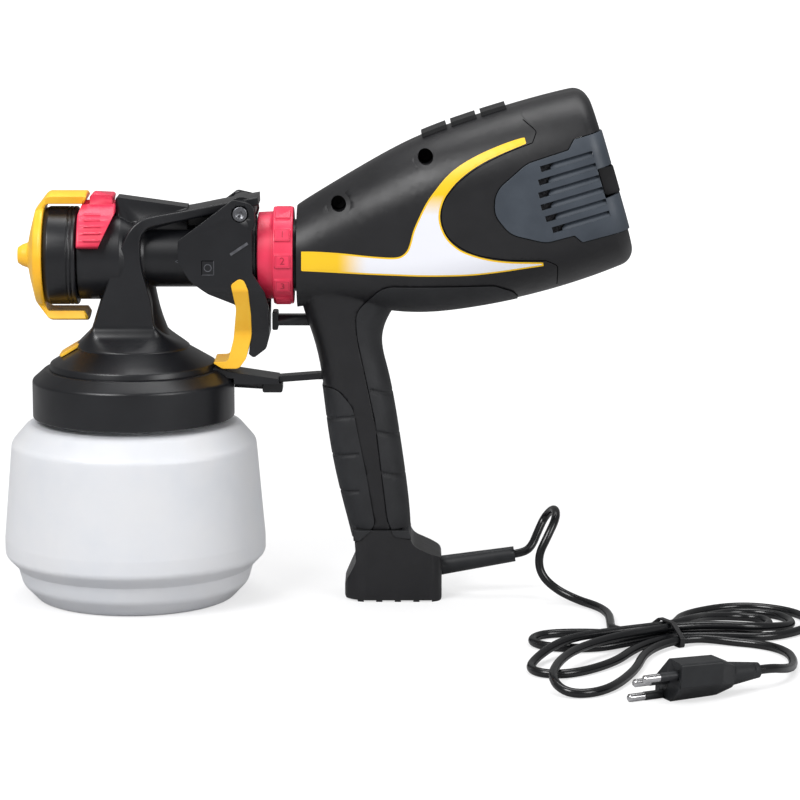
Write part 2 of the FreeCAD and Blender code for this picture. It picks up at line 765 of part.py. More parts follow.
def housing_form(inset):
    """The motor end's outer form, or its inner one when inset by a wall."""
    front = ring_section(housing_front_radius - inset, housing_front_radius - inset,
                         inset - housing_front_radius, housing_front_radius - 1.2 - inset)
    front.translate(Vector(housing_front + max(inset, 0), 0, barrel_height - 0.5))
    sections = [front]
    for i, (u, half_width, up, down, rounding) in enumerate(housing_stations):
        section = ring_section(half_width - inset, up - inset, down + inset, rounding - inset)
        last = i == len(housing_stations) - 1
        section.translate(Vector(u - (inset if last else 0), 0, 0))
        sections.append(on_motor_axis(section))
    form = Part.makeLoft(sections, True, False)
    rear = max(form.Faces, key=lambda face: face.CenterOfMass.x)
    return form.makeFillet(max(housing_edge_radius - inset, 2.0), rear.Edges)


handle_stations = [
    # height, front, rear, half width
    (176.0, 92.5, 150.0, 22.0),
    (162.0, 93.5, 142.5, 18.5),
    (148.0, 98.0, 136.4, handle_half_width),
    (128.0, 102.9, 138.6, handle_half_width),
    (95.0, 107.3, 144.9, handle_half_width + 0.6),
    (62.0, 113.4, 149.6, handle_half_width),
    (31.0, 121.0, 151.6, handle_half_width - 1.0),
]


def handle_form(inset):
    sections = []
    for i, (z, front, rear, half_width) in enumerate(handle_stations):
        height = z
        face = outline([
            (front + inset, inset - half_width, 13 - inset), (rear - inset, inset - half_width, 13 - inset),
            (rear - inset, half_width - inset, 13 - inset), (front + inset, half_width - inset, 13 - inset),
        ], in_xy)
        face.translate(Vector(0, 0, height))
        sections.append(face.OuterWire)
    return Part.makeLoft(sections, True, False)


def foot_form(inset):
    side = slab(outline([
        (121.0 + inset, 40), (122.2 + inset, 22, 6), (foot_front + inset, 9.0, 4), (foot_front + inset, inset, 3),
        (foot_rear - inset, inset, 1.5), (foot_rear - inset, foot_height - inset, 3), (153.5, 31.0 - inset, 8),
        (150.5 - inset, 40),
    ]), -60, 60)
    plan = outline([
        (foot_front + inset - 1, inset - foot_half_width, 14), (foot_rear - inset, inset - foot_half_width, 8),
        (foot_rear - inset, foot_half_width - inset, 8), (foot_front + inset - 1, foot_half_width - inset, 14),
    ], in_xy)
    return side.common(slab(plan, -1, 60, Vector(0, 0, 1)))


def body_form(inset):
    return fused([housing_form(inset), handle_form(inset), foot_form(inset)])


def seam_region():
    """Side view of everything behind the seam: the shroud reaches forward in a round nose on each side."""
    nose = Part.BSplineCurve()
    nose.interpolate([in_xz(*p) for p in (
        (216.5, 254.5), (190.3, 243.0), (175.0, 231.0), (seam_tip, 216.5), (172.5, 203.6), (190.0, 194.2), (224.5, 191.6),
    )])
    corners = [(224.5, 191.6), (230.6, 188.0), (231.0, 150.0), (320.0, 150.0), (320.0, 320.0), (211.0, 320.0),
               (211.0, 268.0), (218.6, 260.4), (216.5, 254.5)]
    edges = [nose.toShape()]
    for a, b in zip(corners[:-1], corners[1:], strict=True):
        edges.append(Part.LineSegment(in_xz(*a), in_xz(*b)).toShape())
    return slab(Part.Face(Part.Wire(edges)), -80, 80)


def rear_grip_region():
    return slab(outline([
        (212, 160), (209, 172.5, 8), (197, 177.0, 8), (137, 176.0, 14), (122.5, 160, 10), (122.8, 148, 60),
        (133, 100, 60), (139.5, 45, 30), (143, 36.5, 3), (170, 33), (170, 150),
    ]), -60, 60)


def front_grip_region():
    return slab(outline([
        (90, 118.6), (112, 118.2, 10), (120.5, 108, 14), (128.0, 70, 40), (132.6, 42, 6), (124, 34.0, 4), (100, 33.4),
    ]), -60, 60)


def cover_outline(gap):
    """Side view of a filter cover, grown by a gap; it runs past the rear end."""
    face = outline([
        (300, 248), (253, 260.5), (238.4, 256.4, 1.5), (235.4, 250.8, 1.5), (213.5, 243.6, 16), (197.0, 229, 14),
        (196.4, 216.5, 12), (205, 206.0, 14), (224, 201.6, 14), (239.0, 205.6, 1.5), (243.4, 201.8, 1.5), (300, 216.5),
    ])
    return face if not gap else Part.Face(face.OuterWire.makeOffset2D(gap))


def half_space(side):
    return box((-100, 400), (0, 200), (-50, 400)) if side > 0 else box((-100, 400), (-200, 0), (-50, 400))


def side_band(side, inner):
    return box((-100, 400), (inner, 200), (-50, 400)) if side > 0 else box((-100, 400), (-200, -inner), (-50, 400))


screw_places = [motor_point(31.0, 24.0), motor_point(83.0, 35.5)]


def make_motor_end():
    """The moulded shells of the motor end and its rubber grips, cut from one form."""
    outer, proud, sunk, inner = (body_form(inset) for inset in (0, -grip_proud, grip_depth, housing_wall))
    bands = proud.cut(sunk)
    behind = seam_region()
    grip_rear = bands.common(rear_grip_region())
    grip_front = bands.common(front_grip_region())
    for z in (112.0, 90.0, 68.0):
        groove = slab(outline([(130, z + 4.5), (160, z - 3.5), (160, z - 1.5), (130, z + 6.5)]), -60, 60)
        grip_rear = grip_rear.cut(groove.common(bands.cut(outer)))
    for z in (97.5, 76.5, 55.5):
        groove = slab(outline([(95, z + 0.8), (124, z + 5.0), (124, z + 6.8), (95, z + 2.8)]), -60, 60)
        grip_front = grip_front.cut(groove.common(bands.cut(outer)))
    shell = outer.cut(inner)
    floor = box((foot_front - 2, foot_rear - 5), (-60, 60), (-1, 0.9))
    for i in range(foot_ribs):
        start = foot_front + 7.0 + 10.2 * i
        floor = floor.cut(box((start, start + 3.4), (-60, 60), (-1, 2)))
    shell = shell.cut(floor)
    shell = shell.cut(grip_rear).cut(grip_front)
    mouth = Part.makeCylinder(tail_radius + touch_gap, 40, Vector(housing_front - 5, 0, barrel_height),
                              Vector(1, 0, 0))
    bulkhead = outer.common(Part.makeCylinder(80, 3.0, Vector(housing_front, 0, barrel_height), Vector(1, 0, 0)))
    gland = Part.makeCylinder(relief_root_radius, 30, Vector(foot_rear - 20, 0, relief_height), Vector(1, 0, 0))
    rod_port = box((85, 110), (-rod_half_width - moving_gap, rod_half_width + moving_gap),
                   (rod_height - rod_thickness / 2 - moving_gap, rod_height + rod_thickness / 2 + moving_gap))
    front = shell.cut(behind)
    front = fused([front, bulkhead.cut(inner.cut(bulkhead))])
    halves = {}
    for name, side in (("housing_left", -1), ("housing_right", 1)):
        half = front.common(half_space(side))
        towers = []
        for x, z in screw_places:
            tower = Part.makeCylinder(screw_hole_radius + 1.6, 45, Vector(x, 0, z), Vector(0, side, 0))
            towers.append(tower.common(outer).cut(behind))
        half = fused([half] + towers)
        for x, z in screw_places:
            if side < 0:
                half = half.cut(Part.makeCylinder(screw_hole_radius, 60, Vector(x, -12, z), Vector(0, -1, 0)))
                half = half.cut(Part.makeCylinder(screw_radius, 60, Vector(x, 0, z), Vector(0, -1, 0)))
            else:
                half = half.cut(Part.makeCylinder(screw_radius, 14, Vector(x, 0, z), Vector(0, 1, 0)))
        halves[name] = half.cut(mouth).cut(gland).cut(rod_port)
    shroud = shell.common(behind)
    covers = {}
    cover_band = housing_form(-cover_proud).cut(housing_form(cover_thickness - cover_proud))
    foam_band = housing_form(housing_wall).cut(housing_form(housing_wall + foam_thickness))
    for word, side in (("left", -1), ("right", 1)):
        cover = cover_band.common(slab(cover_outline(0), -80, 80)).common(side_band(side, cover_inner_y))
        shroud = shroud.cut(slab(cover_outline(panel_gap), -80, 80).common(side_band(side, cover_inner_y - panel_gap)))
        cuts = []
        for i in range(slot_count):
            v = 13.2 - slot_pitch * i
            start = 134.5 + 0.09 * (i - 3) ** 2 * slot_pitch
            slot = box((start, 168.5), (-80, 80), (v - slot_height / 2, v + slot_height / 2))
            cuts.append(on_motor_axis(slot))
        latch_room = on_motor_axis(box((housing_length - 7.4, housing_length + 10), (-80, 80), (-11.6, 4.6)))
        cover = cover.cut(fused(cuts) if len(cuts) > 1 else cuts[0]).cut(latch_room)
        covers["filter_cover_" + word] = cover
        foam = foam_band.common(slab(cover_outline(3.0), -80, 80)).common(side_band(side, cover_inner_y - 6))
        covers["filter_foam_" + word] = foam.cut(on_motor_axis(box((housing_length - 14, 400), (-80, 80), (-80, 80))))
    vents = [on_motor_axis(box((145.0 + 6.2 * i, 148.2 + 6.2 * i), (-15, 15), (-70, -45))) for i in range(4)]
    for vent in vents:
        shroud = shroud.cut(vent)
    pads = housing_form(-2.4).cut(outer)
    top_pads = []
    for i in range(3):
        start = 84.0 + 16.8 * i
        room = box((start, start + 14.0), (-13, 13), (20, 80))
        top_pads.append(pads.common(on_motor_axis(room)).cut(behind))
    return {**halves, "rear_shroud": shroud, "grip_front": grip_front, "grip_rear": grip_rear,
            "top_grip_pads": Part.makeCompound(top_pads), **covers}


def make_cover_latch(side):
    """Sprung catch at the rear edge of a filter cover."""
    body = box((housing_length - 6.8, housing_length + 1.4), (31.0, 36.0), (-11.0, 4.0))
    body = body.makeFillet(1.2, [e for e in body.Edges if abs(e.tangentAt(0).y) > 0.9])
    body = on_motor_axis(body)
    return body if side > 0 else mirrored(body)


def make_housing_screws():
    screws = []
    for x, z in screw_places:
        shank = Part.makeCylinder(screw_radius, 26, Vector(x, -14, z), Vector(0, 1, 0))
        head = Part.makeCylinder(3.5, 2.4, Vector(x, -14.4, z), Vector(0, 1, 0))
        socket = Part.makeCylinder(1.5, 1.4, Vector(x, -14.4, z), Vector(0, 1, 0))
        screws.append(fused([shank, head]).cut(socket))
    return Part.makeCompound(screws)


# Turbine and motor


casing_radius = impeller_radius + impeller_gap + casing_wall


def make_turbine_casing():
    bore = impeller_radius + impeller_gap
    middle = (turbine_front + turbine_rear) / 2
    outer = tube_along_x(casing_radius, bore, turbine_front, turbine_rear, 0)
    front = tube_along_x(casing_radius, duct_rear_radius - 4, turbine_front, turbine_front + 2, 0)
    divider = tube_along_x(bore + 1.0, 9.0, middle - 1, middle + 1, 0)
    rear = tube_along_x(casing_radius, 9.0, turbine_rear - 2, turbine_rear, 0)
    return on_motor_axis(fused([outer, front, divider, rear]))


def make_impeller(start):
    plate = tube_along_x(impeller_radius, shaft_radius, start, start + 1.4, 0)
    hub = tube_along_x(6.0, shaft_radius, start, start + blade_height + 0.4, 0)
    blades = []
    for i in range(blade_count):
        blade = box((start + 1, start + blade_height), (-0.7, 0.7), (5.0, impeller_radius - 0.5))
        blade.rotate(Vector(0, 0, 5.5), Vector(1, 0, 0), 24)
        blade.rotate(Vector(0, 0, 0), Vector(1, 0, 0), 360 / blade_count * i)
        blades.append(blade.common(tube_along_x(impeller_radius, shaft_radius + 0.5, start, start + 12, 0)))
    return on_motor_axis(fused([plate, hub] + blades))


impeller_step = (turbine_rear - turbine_front) / 2


def make_rotor_shaft():
    shaft = tube_along_x(shaft_radius, 0, turbine_front + 3.2, motor_front + motor_length + 6, 0)
    armature = tube_along_x(13.0, 0, motor_front + 8, motor_front + motor_length - 14, 0)
    commutator = tube_along_x(8.0, 0, motor_front + motor_length - 13, motor_front + motor_length - 4, 0)
    return on_motor_axis(fused([shaft, armature, commutator]))


def make_motor_can():
    can = tube_along_x(motor_radius, motor_radius - 3.0, motor_front, motor_front + motor_length, 0)
    front = tube_along_x(motor_radius, 7.0, motor_front, motor_front + 3, 0)
    rear = tube_along_x(motor_radius, 7.0, motor_front + motor_length - 2, motor_front + motor_length, 0)
    return on_motor_axis(fused([can, front, rear]))


def make_motor_bearings():
    bearings = [tube_along_x(7.0, shaft_radius + running_gap, x, x + 4, 0)
                for x in (motor_front, motor_front + motor_length - 2)]
    return Part.makeCompound([on_motor_axis(b) for b in bearings])


def make_brush_holders():
    place = motor_front + motor_length - 8.5
    holders = []
    for side in (-1, 1):
        y = sorted((side * 8.4, side * (motor_radius - 3.6)))
        holders.append(on_motor_axis(box((place - 3, place + 3), tuple(y), (-3, 3))))
    return Part.makeCompound(holders)


def make_motor_mounts():
    """Rubber rings that hold the turbine and the motor in the shells, the rear one as two pads."""
    inner = housing_form(housing_wall)
    front = tube_along_x(80, casing_radius, turbine_front + 6, turbine_front + 13, 0)
    rear = tube_along_x(80, motor_radius, motor_front + 30, motor_front + 37, 0)
    band = box((-100, 400), (-15, 15), (-50, 400))
    return Part.makeCompound([on_motor_axis(front).common(inner), on_motor_axis(rear).common(inner).common(band)])


def make_air_duct():
    """Cone that leads the air from the turbine to the barrel."""
    start = Vector(neck_end + 0.02, 0, barrel_height)
    shells = []
    for inset in (0, 1.8):
        small = Part.Wire(Part.Circle(start, Vector(1, 0, 0), tail_radius - inset).toShape())
        large = Part.Circle(Vector(turbine_front - 0.02, 0, 0), Vector(1, 0, 0), duct_rear_radius - inset)
        shells.append(Part.makeLoft([small, Part.Wire(on_motor_axis(large.toShape()))], True, True))
    return shells[0].cut(shells[1])


# Switch, its rod, and the link below


rod_half_width = 4.0
rod_tail = 104.0


def make_switch_rod():
    head = box((rod_head_front, rod_head_front + 3.2), (-6, 6), (rod_height - rod_head_height / 2, rod_height + rod_head_height / 2))
    head = head.makeFillet(1.0, [e for e in head.Edges if abs(e.tangentAt(0).y) > 0.9])
    bar = box((rod_head_front + 2, rod_tail), (-rod_half_width, rod_half_width),
              (rod_height - rod_thickness / 2, rod_height + rod_thickness / 2))
    return fused([head, bar])


def make_power_switch():
    start = rod_tail + rod_travel + 0.4
    body = box((start + 3, start + 17), (-8, 8), (rod_height - 11, rod_height + 9))
    button = box((start, start + 3), (-3, 3), (rod_height - 3, rod_height + 3))
    post = box((start + 6, start + 12), (-handle_half_width, handle_half_width), (rod_height - 9, rod_height - 5))
    return fused([body, button, post.common(handle_form(housing_wall))])


def make_guard_link():
    """Strap from the arm of the spray head to the handle; it keeps the two ends together."""
    strap = slab(outline([
        (arm_end + 0.02, link_height - link_thickness / 2), (101, link_height + 1.6 - link_thickness / 2),
        (120, link_height + 1.6 - link_thickness / 2), (120, link_height + 1.6 + link_thickness / 2),
        (101, link_height + 1.6 + link_thickness / 2), (arm_end + 0.02, link_height + link_thickness / 2),
    ]), -link_half_width, link_half_width)
    strap = strap.cut(handle_form(0))
    return min(strap.Solids, key=lambda solid: solid.CenterOfMass.x)


def make_guard_clip():
    low, high = arm_bottom - 5.4, arm_bottom - 0.02
    body = box((arm_end - 9, arm_end + 2), (-6, 6), (low, high))
    body = body.makeFillet(1.2, [e for e in body.Edges if abs(e.tangentAt(0).y) > 0.9])
    tab = slab(outline([
        (lid_radius + touch_gap, 117.0), (arm_end - 8, 116.0), (arm_end - 8, high), (lid_radius + touch_gap, high),
    ]), -4, 4)
    return fused([body, tab])


# Cord, its relief, the tied hank and the plug


relief_height = 16.2
relief_rise = 9.0


relief_tip = Vector(foot_rear + relief_length * math.cos(math.radians(relief_rise)), 0,
                    relief_height + relief_length * math.sin(math.radians(relief_rise)))


def make_strain_relief():
    """Tapered sleeve that rises a little on its way out of the foot, with a collar inside that holds it."""
    mouth = Vector(foot_rear, 0, relief_height)
    root = tube_along_x(relief_root_radius, 0, foot_rear - 6, foot_rear + 1, relief_height)
    collar = tube_along_x(relief_root_radius + 2.4, 0, foot_rear - 6.6, foot_rear - 3.4, relief_height)
    collar = collar.common(foot_form(housing_wall))
    sleeve = Part.makeCone(relief_root_radius, relief_tip_radius, relief_length, mouth, relief_tip - mouth)
    return fused([root, collar, sleeve])


def rounded_route(points):
    """Straight runs joined by tangent arcs, each as large as its two runs allow."""
    edges, last, radii = [], points[0], []
    for before, here, after in zip(points[:-2], points[1:-1], points[2:], strict=True):
        back, ahead = before - here, after - here
        shorter = min(back.Length, ahead.Length)
        back.normalize()
        ahead.normalize()
        half_turn = (math.pi - back.getAngle(ahead)) / 2
        radius = 0.45 * shorter / math.tan(half_turn)
        reach = 0.45 * shorter
        start, end = here + back * reach, here + ahead * reach
        middle = here + (back + ahead).normalize() * (radius / math.cos(half_turn) - radius)
        edges.append(Part.LineSegment(last, start).toShape())
        edges.append(Part.Arc(start, middle, end).toShape())
        radii.append(radius)
        last = end
    edges.append(Part.LineSegment(last, points[-1]).toShape())
    return Part.Wire(edges), radii


def tube_on(wire, start, direction):
    ring = Part.Wire(Part.Circle(start, direction, cord_diameter / 2).toShape())
    return wire.makePipeShell([ring], True, False)


def leaving_arc(start, along, end, backwards):
    """The arc that leaves start along a heading and ends at end, or the line where they agree."""
    chord = end - start
    bend = along.getAngle(chord)
    if bend < 1e-4:
        return (Part.LineSegment(end, start) if backwards else Part.LineSegment(start, end)).toShape()
    side = (along - chord * (along.dot(chord) / chord.dot(chord))).normalize()
    half = start + chord / 2 + side * (chord.Length / 2 * math.tan(bend / 2))
    return (Part.Arc(end, half, start) if backwards else Part.Arc(start, half, end)).toShape()


def biarc(p, t, q, w):
    """Two arcs that leave p along t and reach q along w."""
    v, both = q - p, t + w
    spread = 2 * (1 - t.dot(w))
    reach = v.dot(v) / (4 * v.dot(w)) if spread < 1e-9 else (
        -v.dot(both) + math.sqrt(v.dot(both) ** 2 + spread * v.dot(v))) / spread
    middle = (p + q + (t - w) * reach) / 2
    return [leaving_arc(p, t, middle, False), leaving_arc(q, w * -1, middle, True)]


cord_low = cord_diameter / 2 + 0.1
bundle_low = cord_low + tie_thickness + 0.3
bundle_high = bundle_low + 0.866 * strand_pitch
tie_straight = 6.0
tie_grip = 1.0  # how far inside the tie the free stretches of the cord begin
# Where each strand passes the tie, from the back to the front: strand pitches across the bundle, and its row.
slots = [(2.25, 0), (1, 0), (0.5, 1), (0, 0), (-0.5, 1), (-1, 0), (-2.25, 0)]
# Each loop in the order that the cord runs: side of the tie, slot out, slot back, length, half angle of the loop,
# swing from the bundle's heading, and the share of the way out and back on which it stays up to cross others.
loops = [
    (1, 0, 5, 94.0, 70.0, 8.0, 0.0, 0.0),
    (-1, 5, 2, 102.0, 31.0, 18.0, 0.0, 0.62),
    (1, 2, 3, 69.0, 44.0, 7.0, 0.35, 0.0),
    (-1, 3, 1, 73.0, 46.0, -22.0, 0.0, 0.0),
    (1, 1, 4, 82.0, 58.0, 7.0, 0.0, 0.45),
    (-1, 4, 6, 128.0, 25.0, 33.0, 0.88, 0.0),
]
loop_places = (0.09, 0.2, 0.36, 0.5, 0.64, 0.8, 0.91)


def in_hank(x, y, z):
    """A point of the hank from its place along and across the bundle."""
    heading = math.radians(hank_heading)
    return Vector(hank_x + x * math.cos(heading) - y * math.sin(heading),
                  hank_y + x * math.sin(heading) + y * math.cos(heading), z)


def slot_place(slot):
    across, row = slots[slot]
    return across * strand_pitch, bundle_high if row else bundle_low


def smooth(t):
    t = min(max(t, 0.0), 1.0)
    return t * t * (3 - 2 * t)


def loop_point(loop, t):
    """A point of a loop, a petal that leaves the tie at t = 0 and comes back to it at t = 1."""
    side, out, back, length, half_angle, swing, held_out, held_back = loop
    (s0, z0), (s1, z1) = slot_place(out), slot_place(back)
    rise = math.sin(math.pi * t)
    reach = (length - tie_straight) * rise
    turn = side if s0 > s1 else -side
    full = math.radians(turn * half_angle * (1 - 2 * t) + swing)
    angle = full * rise * (2 - rise)
    lean = full * rise * (4 - 3 * rise)
    blend = smooth(t)
    offset = s0 * (1 - blend) + s1 * blend
    start, held = (z0, held_out) if t < 0.5 else (z1, held_back)
    drop = smooth((rise - held) / (1.0 - held) * 1.4)
    return in_hank(side * (tie_straight + reach * math.cos(angle)) - offset * math.sin(lean),
                   side * reach * math.sin(angle) + offset * math.cos(lean),
                   start + (cord_low - start) * drop)


def tie_point(slot, x):
    across, z = slot_place(slot)
    return in_hank(x, across, z)


def hank_route():
    """Points and headings along the whole hank, from its first pass through the tie to its last."""
    step = 0.002
    axis = in_hank(1, 0, 0) - in_hank(0, 0, 0)
    points = [(tie_point(0, -tie_grip), axis)]
    for loop in loops:
        side = loop[0]
        points.append((tie_point(loop[1], side * tie_straight), axis * side))
        for t in loop_places:
            along = loop_point(loop, t + step) - loop_point(loop, t - step)
            points.append((loop_point(loop, t), along.normalize()))
        points.append((tie_point(loop[2], side * tie_straight), axis * -side))
    points.append((tie_point(6, tie_grip), axis))
    return points


def make_hank():
    points = hank_route()
    edges = []
    for (p, t), (q, w) in zip(points[:-1], points[1:], strict=True):
        if t.getAngle(w) < 1e-3 and t.getAngle(q - p) < 1e-3:
            edges.append(Part.LineSegment(p, q).toShape())
        else:
            edges.extend(biarc(p, t, q, w))
    path = Part.Wire(edges)
    samples = [p for edge in edges for p in edge.discretize(7)[:-1]]
    apart = [0.0]
    for a, b in zip(samples[:-1], samples[1:], strict=True):
        apart.append(apart[-1] + (b - a).Length)
    gap = min((samples[i] - samples[j]).Length - cord_diameter
              for i in range(len(samples)) for j in range(i) if apart[i] - apart[j] > 3 * cord_diameter)
    radii = [edge.Curve.Radius for edge in edges if hasattr(edge.Curve, "Radius")]
    print(f"hank: {path.Length:.0f} mm long, least gap to itself {gap:.2f} mm, least radius {min(radii):.1f} mm")
    return tube_on(path, *points[0])


def make_tie():
    """Band round all the strands at the middle of the hank, wide below and narrow above."""
    rim = cord_diameter / 2 + 0.35
    wide = max(across for across, row in slots) * strand_pitch + rim
    narrow = max(across for across, row in slots if row) * strand_pitch + rim
    faces = []
    for grown in (tie_thickness, 0.0):
        faces.append(outline([
            (-wide - grown, bundle_low - rim - grown, 1.8), (wide + grown, bundle_low - rim - grown, 1.8),
            (wide + grown, bundle_low + 1.6 + grown / 2, 1.6), (narrow + grown, bundle_high + rim + grown, 3),
            (-narrow - grown, bundle_high + rim + grown, 3), (-wide - grown, bundle_low + 1.6 + grown / 2, 1.6),
        ], in_yz))
    band = slab(faces[0], -tie_width / 2, tie_width / 2, Vector(1, 0, 0))
    band = band.cut(slab(faces[1], -tie_width, tie_width, Vector(1, 0, 0)))
    band.rotate(Vector(0, 0, 0), Vector(0, 0, 1), hank_heading)
    band.translate(Vector(hank_x, hank_y, 0))
    return band


# The free stretches, chosen along the photographed route; x, y, z.
lead_route = [
    (219.6, 1.8, 27.0), (222.6, 6.6, 33.0), (227.0, 12.0, 41.5), (232.0, 3.0, 48.4), (232.6, -9.0, 45.6),
    (227.4, -15.4, 36.0), (222.2, -17.4, 25.6), (223.4, -18.6, 15.4), (231.4, -20.6, 7.6), (243.0, -26.6, 2.9),
    (254.0, -40.0, 2.4), (258.6, -56.0, 2.4), (258.4, -74.0, 2.6), (257.6, -90.5, 3.0), (261.6, -97.5, 3.3),
    (267.2, -100.7, 3.6),
]
tail_route = [
    (310.2, -114.2, 2.9), (320.0, -117.5, 2.4), (330.5, -121.5, 2.4), (340.0, -129.0, 2.4), (345.5, -141.0, 2.4),
    (346.0, -155.0, 2.4), (344.0, -169.0, 3.0), (340.5, -180.0, 4.8), (335.5, -190.5, 7.4),
]
plug_end = Vector(322.6, -200.6, 9.4)


def free_stretch(name, points):
    wire, radii = rounded_route(points)
    print(f"{name}: radii", " ".join(f"{r:.0f}" for r in radii), f"length {wire.Length:.0f} mm")
    return tube_on(wire, points[0], points[1] - points[0])


def heading_vector(degrees):
    return Vector(math.cos(math.radians(degrees)), math.sin(math.radians(degrees)), 0)


def make_lead():
    """From the strain relief down to the tied hank."""
    end = tie_point(0, -tie_grip)
    out = Vector(math.cos(math.radians(relief_rise)), 0, math.sin(math.radians(relief_rise)))
    points = [relief_tip, relief_tip + out * 5.8] + [Vector(*p) for p in lead_route]
    return free_stretch("lead", points + [end - heading_vector(hank_heading) * 6.5, end])


def make_tail():
    """From the tied hank to the plug."""
    start = tie_point(6, tie_grip)
    points = [start, start + heading_vector(hank_heading) * 9.0] + [Vector(*p) for p in tail_route]
    return free_stretch("tail", points + [plug_end - heading_vector(plug_heading) * 8.0, plug_end])


def at_plug(shape):
    """Moves a piece made along +X from the cord's end to where the plug lies."""
    moved = shape.copy()
    moved.rotate(Vector(0, 0, 0), Vector(1, 0, 0), plug_roll)
    moved.rotate(Vector(0, 0, 0), Vector(0, 0, 1), plug_heading)
    moved.translate(plug_end)
    return moved


def make_plug_body():
    relief = Part.makeCone(cord_diameter / 2 + 1.6, plug_thickness / 2 - 2.2, plug_relief_length + 2, Vector(0, 0, 0), Vector(1, 0, 0))
    for i in range(4):
        ring = tube_along_x(20, cord_diameter / 2 + 1.2 + 0.36 * (2 + 4 * i), 2.2 + 3.8 * i, 3.8 + 3.8 * i, 0)
        relief = relief.cut(ring)
    start = plug_relief_length
    half = plug_thickness / 2

    def hexagon(x, half_width, half_height):
        face = outline([
            (-half_width, 0, 1.5), (-half_width + half_height, -half_height, 1.5), (half_width - half_height, -half_height, 1.5),
            (half_width, 0, 1.5), (half_width - half_height, half_height, 1.5), (-half_width + half_height, half_height, 1.5),
        ], in_yz)
        face.translate(Vector(x, 0, 0))
        return face.OuterWire

    block = Part.makeLoft([
        hexagon(start, half, half - 1.6), hexagon(start + 10, plug_width / 2 - 1.5, half - 0.4),
    ], True, True)
    face_end = Part.makeLoft([
        hexagon(start + 10, plug_width / 2 - 1.5, half - 0.4), hexagon(start + plug_length - 2, plug_width / 2, half),
    ], True, True)
    body = fused([relief, block, face_end])
    return at_plug(body)


def pin_places():
    return [(-pin_spacing, -pin_offset / 2), (0, pin_offset / 2), (pin_spacing, -pin_offset / 2)]


plug_face = plug_relief_length + plug_length - 2


def make_plug_pins():
    pins = []
    for y, z in pin_places():
        pin = Part.makeCylinder(pin_radius, pin_length + 5, Vector(plug_face - 5, y, z), Vector(1, 0, 0))
        pins.append(at_plug(pin.makeChamfer(0.8, [max(pin.Edges, key=lambda e: e.CenterOfMass.x)])))
    return pins


def make_plug_sleeves():
    sleeves = []
    for y, z in pin_places():
        sleeve = Part.makeCylinder(pin_radius + 0.2, 10, Vector(plug_face, y, z), Vector(1, 0, 0))
        sleeve = sleeve.cut(Part.makeCylinder(pin_radius, 12, Vector(plug_face - 1, y, z), Vector(1, 0, 0)))
        sleeves.append(at_plug(sleeve))
    return sleeves


def build():
    pieces = {
        "container": make_container(),
        "cup_lid": make_cup_lid(),
        "lid_gasket": make_lid_gasket(),
        "pickup_tube": make_pickup_tube(),
        "spray_head": make_spray_head(),
        "fluid_tube": make_fluid_tube(),
        "needle_packing": make_needle_packing(),
        "fluid_nozzle": make_fluid_nozzle(),
        "nozzle_seal": make_nozzle_seal(),
        "needle": make_needle(),
        "needle_yoke": make_needle_yoke(),
        "needle_spring": make_needle_spring(),
        "spring_cap": make_spring_cap(),
        "cap_nut": make_cap_nut(),
        "air_cap": make_air_cap(),
        "jet_switch": make_jet_switch(),
        "trigger_body": make_trigger_body(),
        "trigger_pad": make_trigger_pad(),
        "trigger_screw": make_trigger_screw(),
        "trigger_nut": make_trigger_nut(),
        "lock_ring": make_lock_ring(),
        "turbine_casing": make_turbine_casing(),
        "impeller_front": make_impeller(turbine_front + 3.2),
        "impeller_rear": make_impeller(turbine_front + 2.2 + impeller_step),
        "rotor_shaft": make_rotor_shaft(),
        "motor_can": make_motor_can(),
        "motor_bearings": make_motor_bearings(),
        "brush_holders": make_brush_holders(),
        "motor_mounts": make_motor_mounts(),
        "air_duct": make_air_duct(),
        "switch_rod": make_switch_rod(),
        "power_switch": make_power_switch(),
        "guard_link": make_guard_link(),
        "guard_clip": make_guard_clip(),
        "strain_relief": make_strain_relief(),
        "cord_lead": make_lead(),
        "cord_hank": make_hank(),
        "cord_tail": make_tail(),
        "twist_tie": make_tie(),
        "plug_body": make_plug_body(),
        "cover_latch_left": make_cover_latch(-1),
        "cover_latch_right": make_cover_latch(1),
        "housing_screws": make_housing_screws(),
        **make_motor_end(),
    }
    pins, sleeves = make_plug_pins(), make_plug_sleeves()
    for pin, sleeve in zip(pins, sleeves, strict=True):
        pieces["plug_body"] = pieces["plug_body"].cut(pin)
    pieces["plug_pins"] = Part.makeCompound(pins)
    pieces["plug_sleeves"] = Part.makeCompound(sleeves)
    badge = make_badge_plate()
    pieces["badge_plate"] = badge.cut(pieces["spray_head"])
    os.makedirs("parts", exist_ok=True)
    for name, shape in pieces.items():
        shape.exportStep(f"parts/{name}.step")
        solids = shape.Solids
        print(f"{name}: {len(solids)} solid(s), {shape.Volume / 1000:.2f} cm3, valid {shape.isValid()}")


build()
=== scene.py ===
import json
import math

import bmesh
import bpy
import mathutils
import numpy as np
from mathutils.bvhtree import BVHTree
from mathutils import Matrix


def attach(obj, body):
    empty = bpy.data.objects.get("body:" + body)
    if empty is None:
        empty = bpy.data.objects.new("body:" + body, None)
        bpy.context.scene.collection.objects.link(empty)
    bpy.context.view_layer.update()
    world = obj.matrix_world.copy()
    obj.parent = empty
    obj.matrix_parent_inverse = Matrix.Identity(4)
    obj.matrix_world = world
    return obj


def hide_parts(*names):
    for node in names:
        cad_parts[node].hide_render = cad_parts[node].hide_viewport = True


# Hand-held paint sprayer on its container, with its cord in a tied hank. Metres, +Z up, jet towards -X.

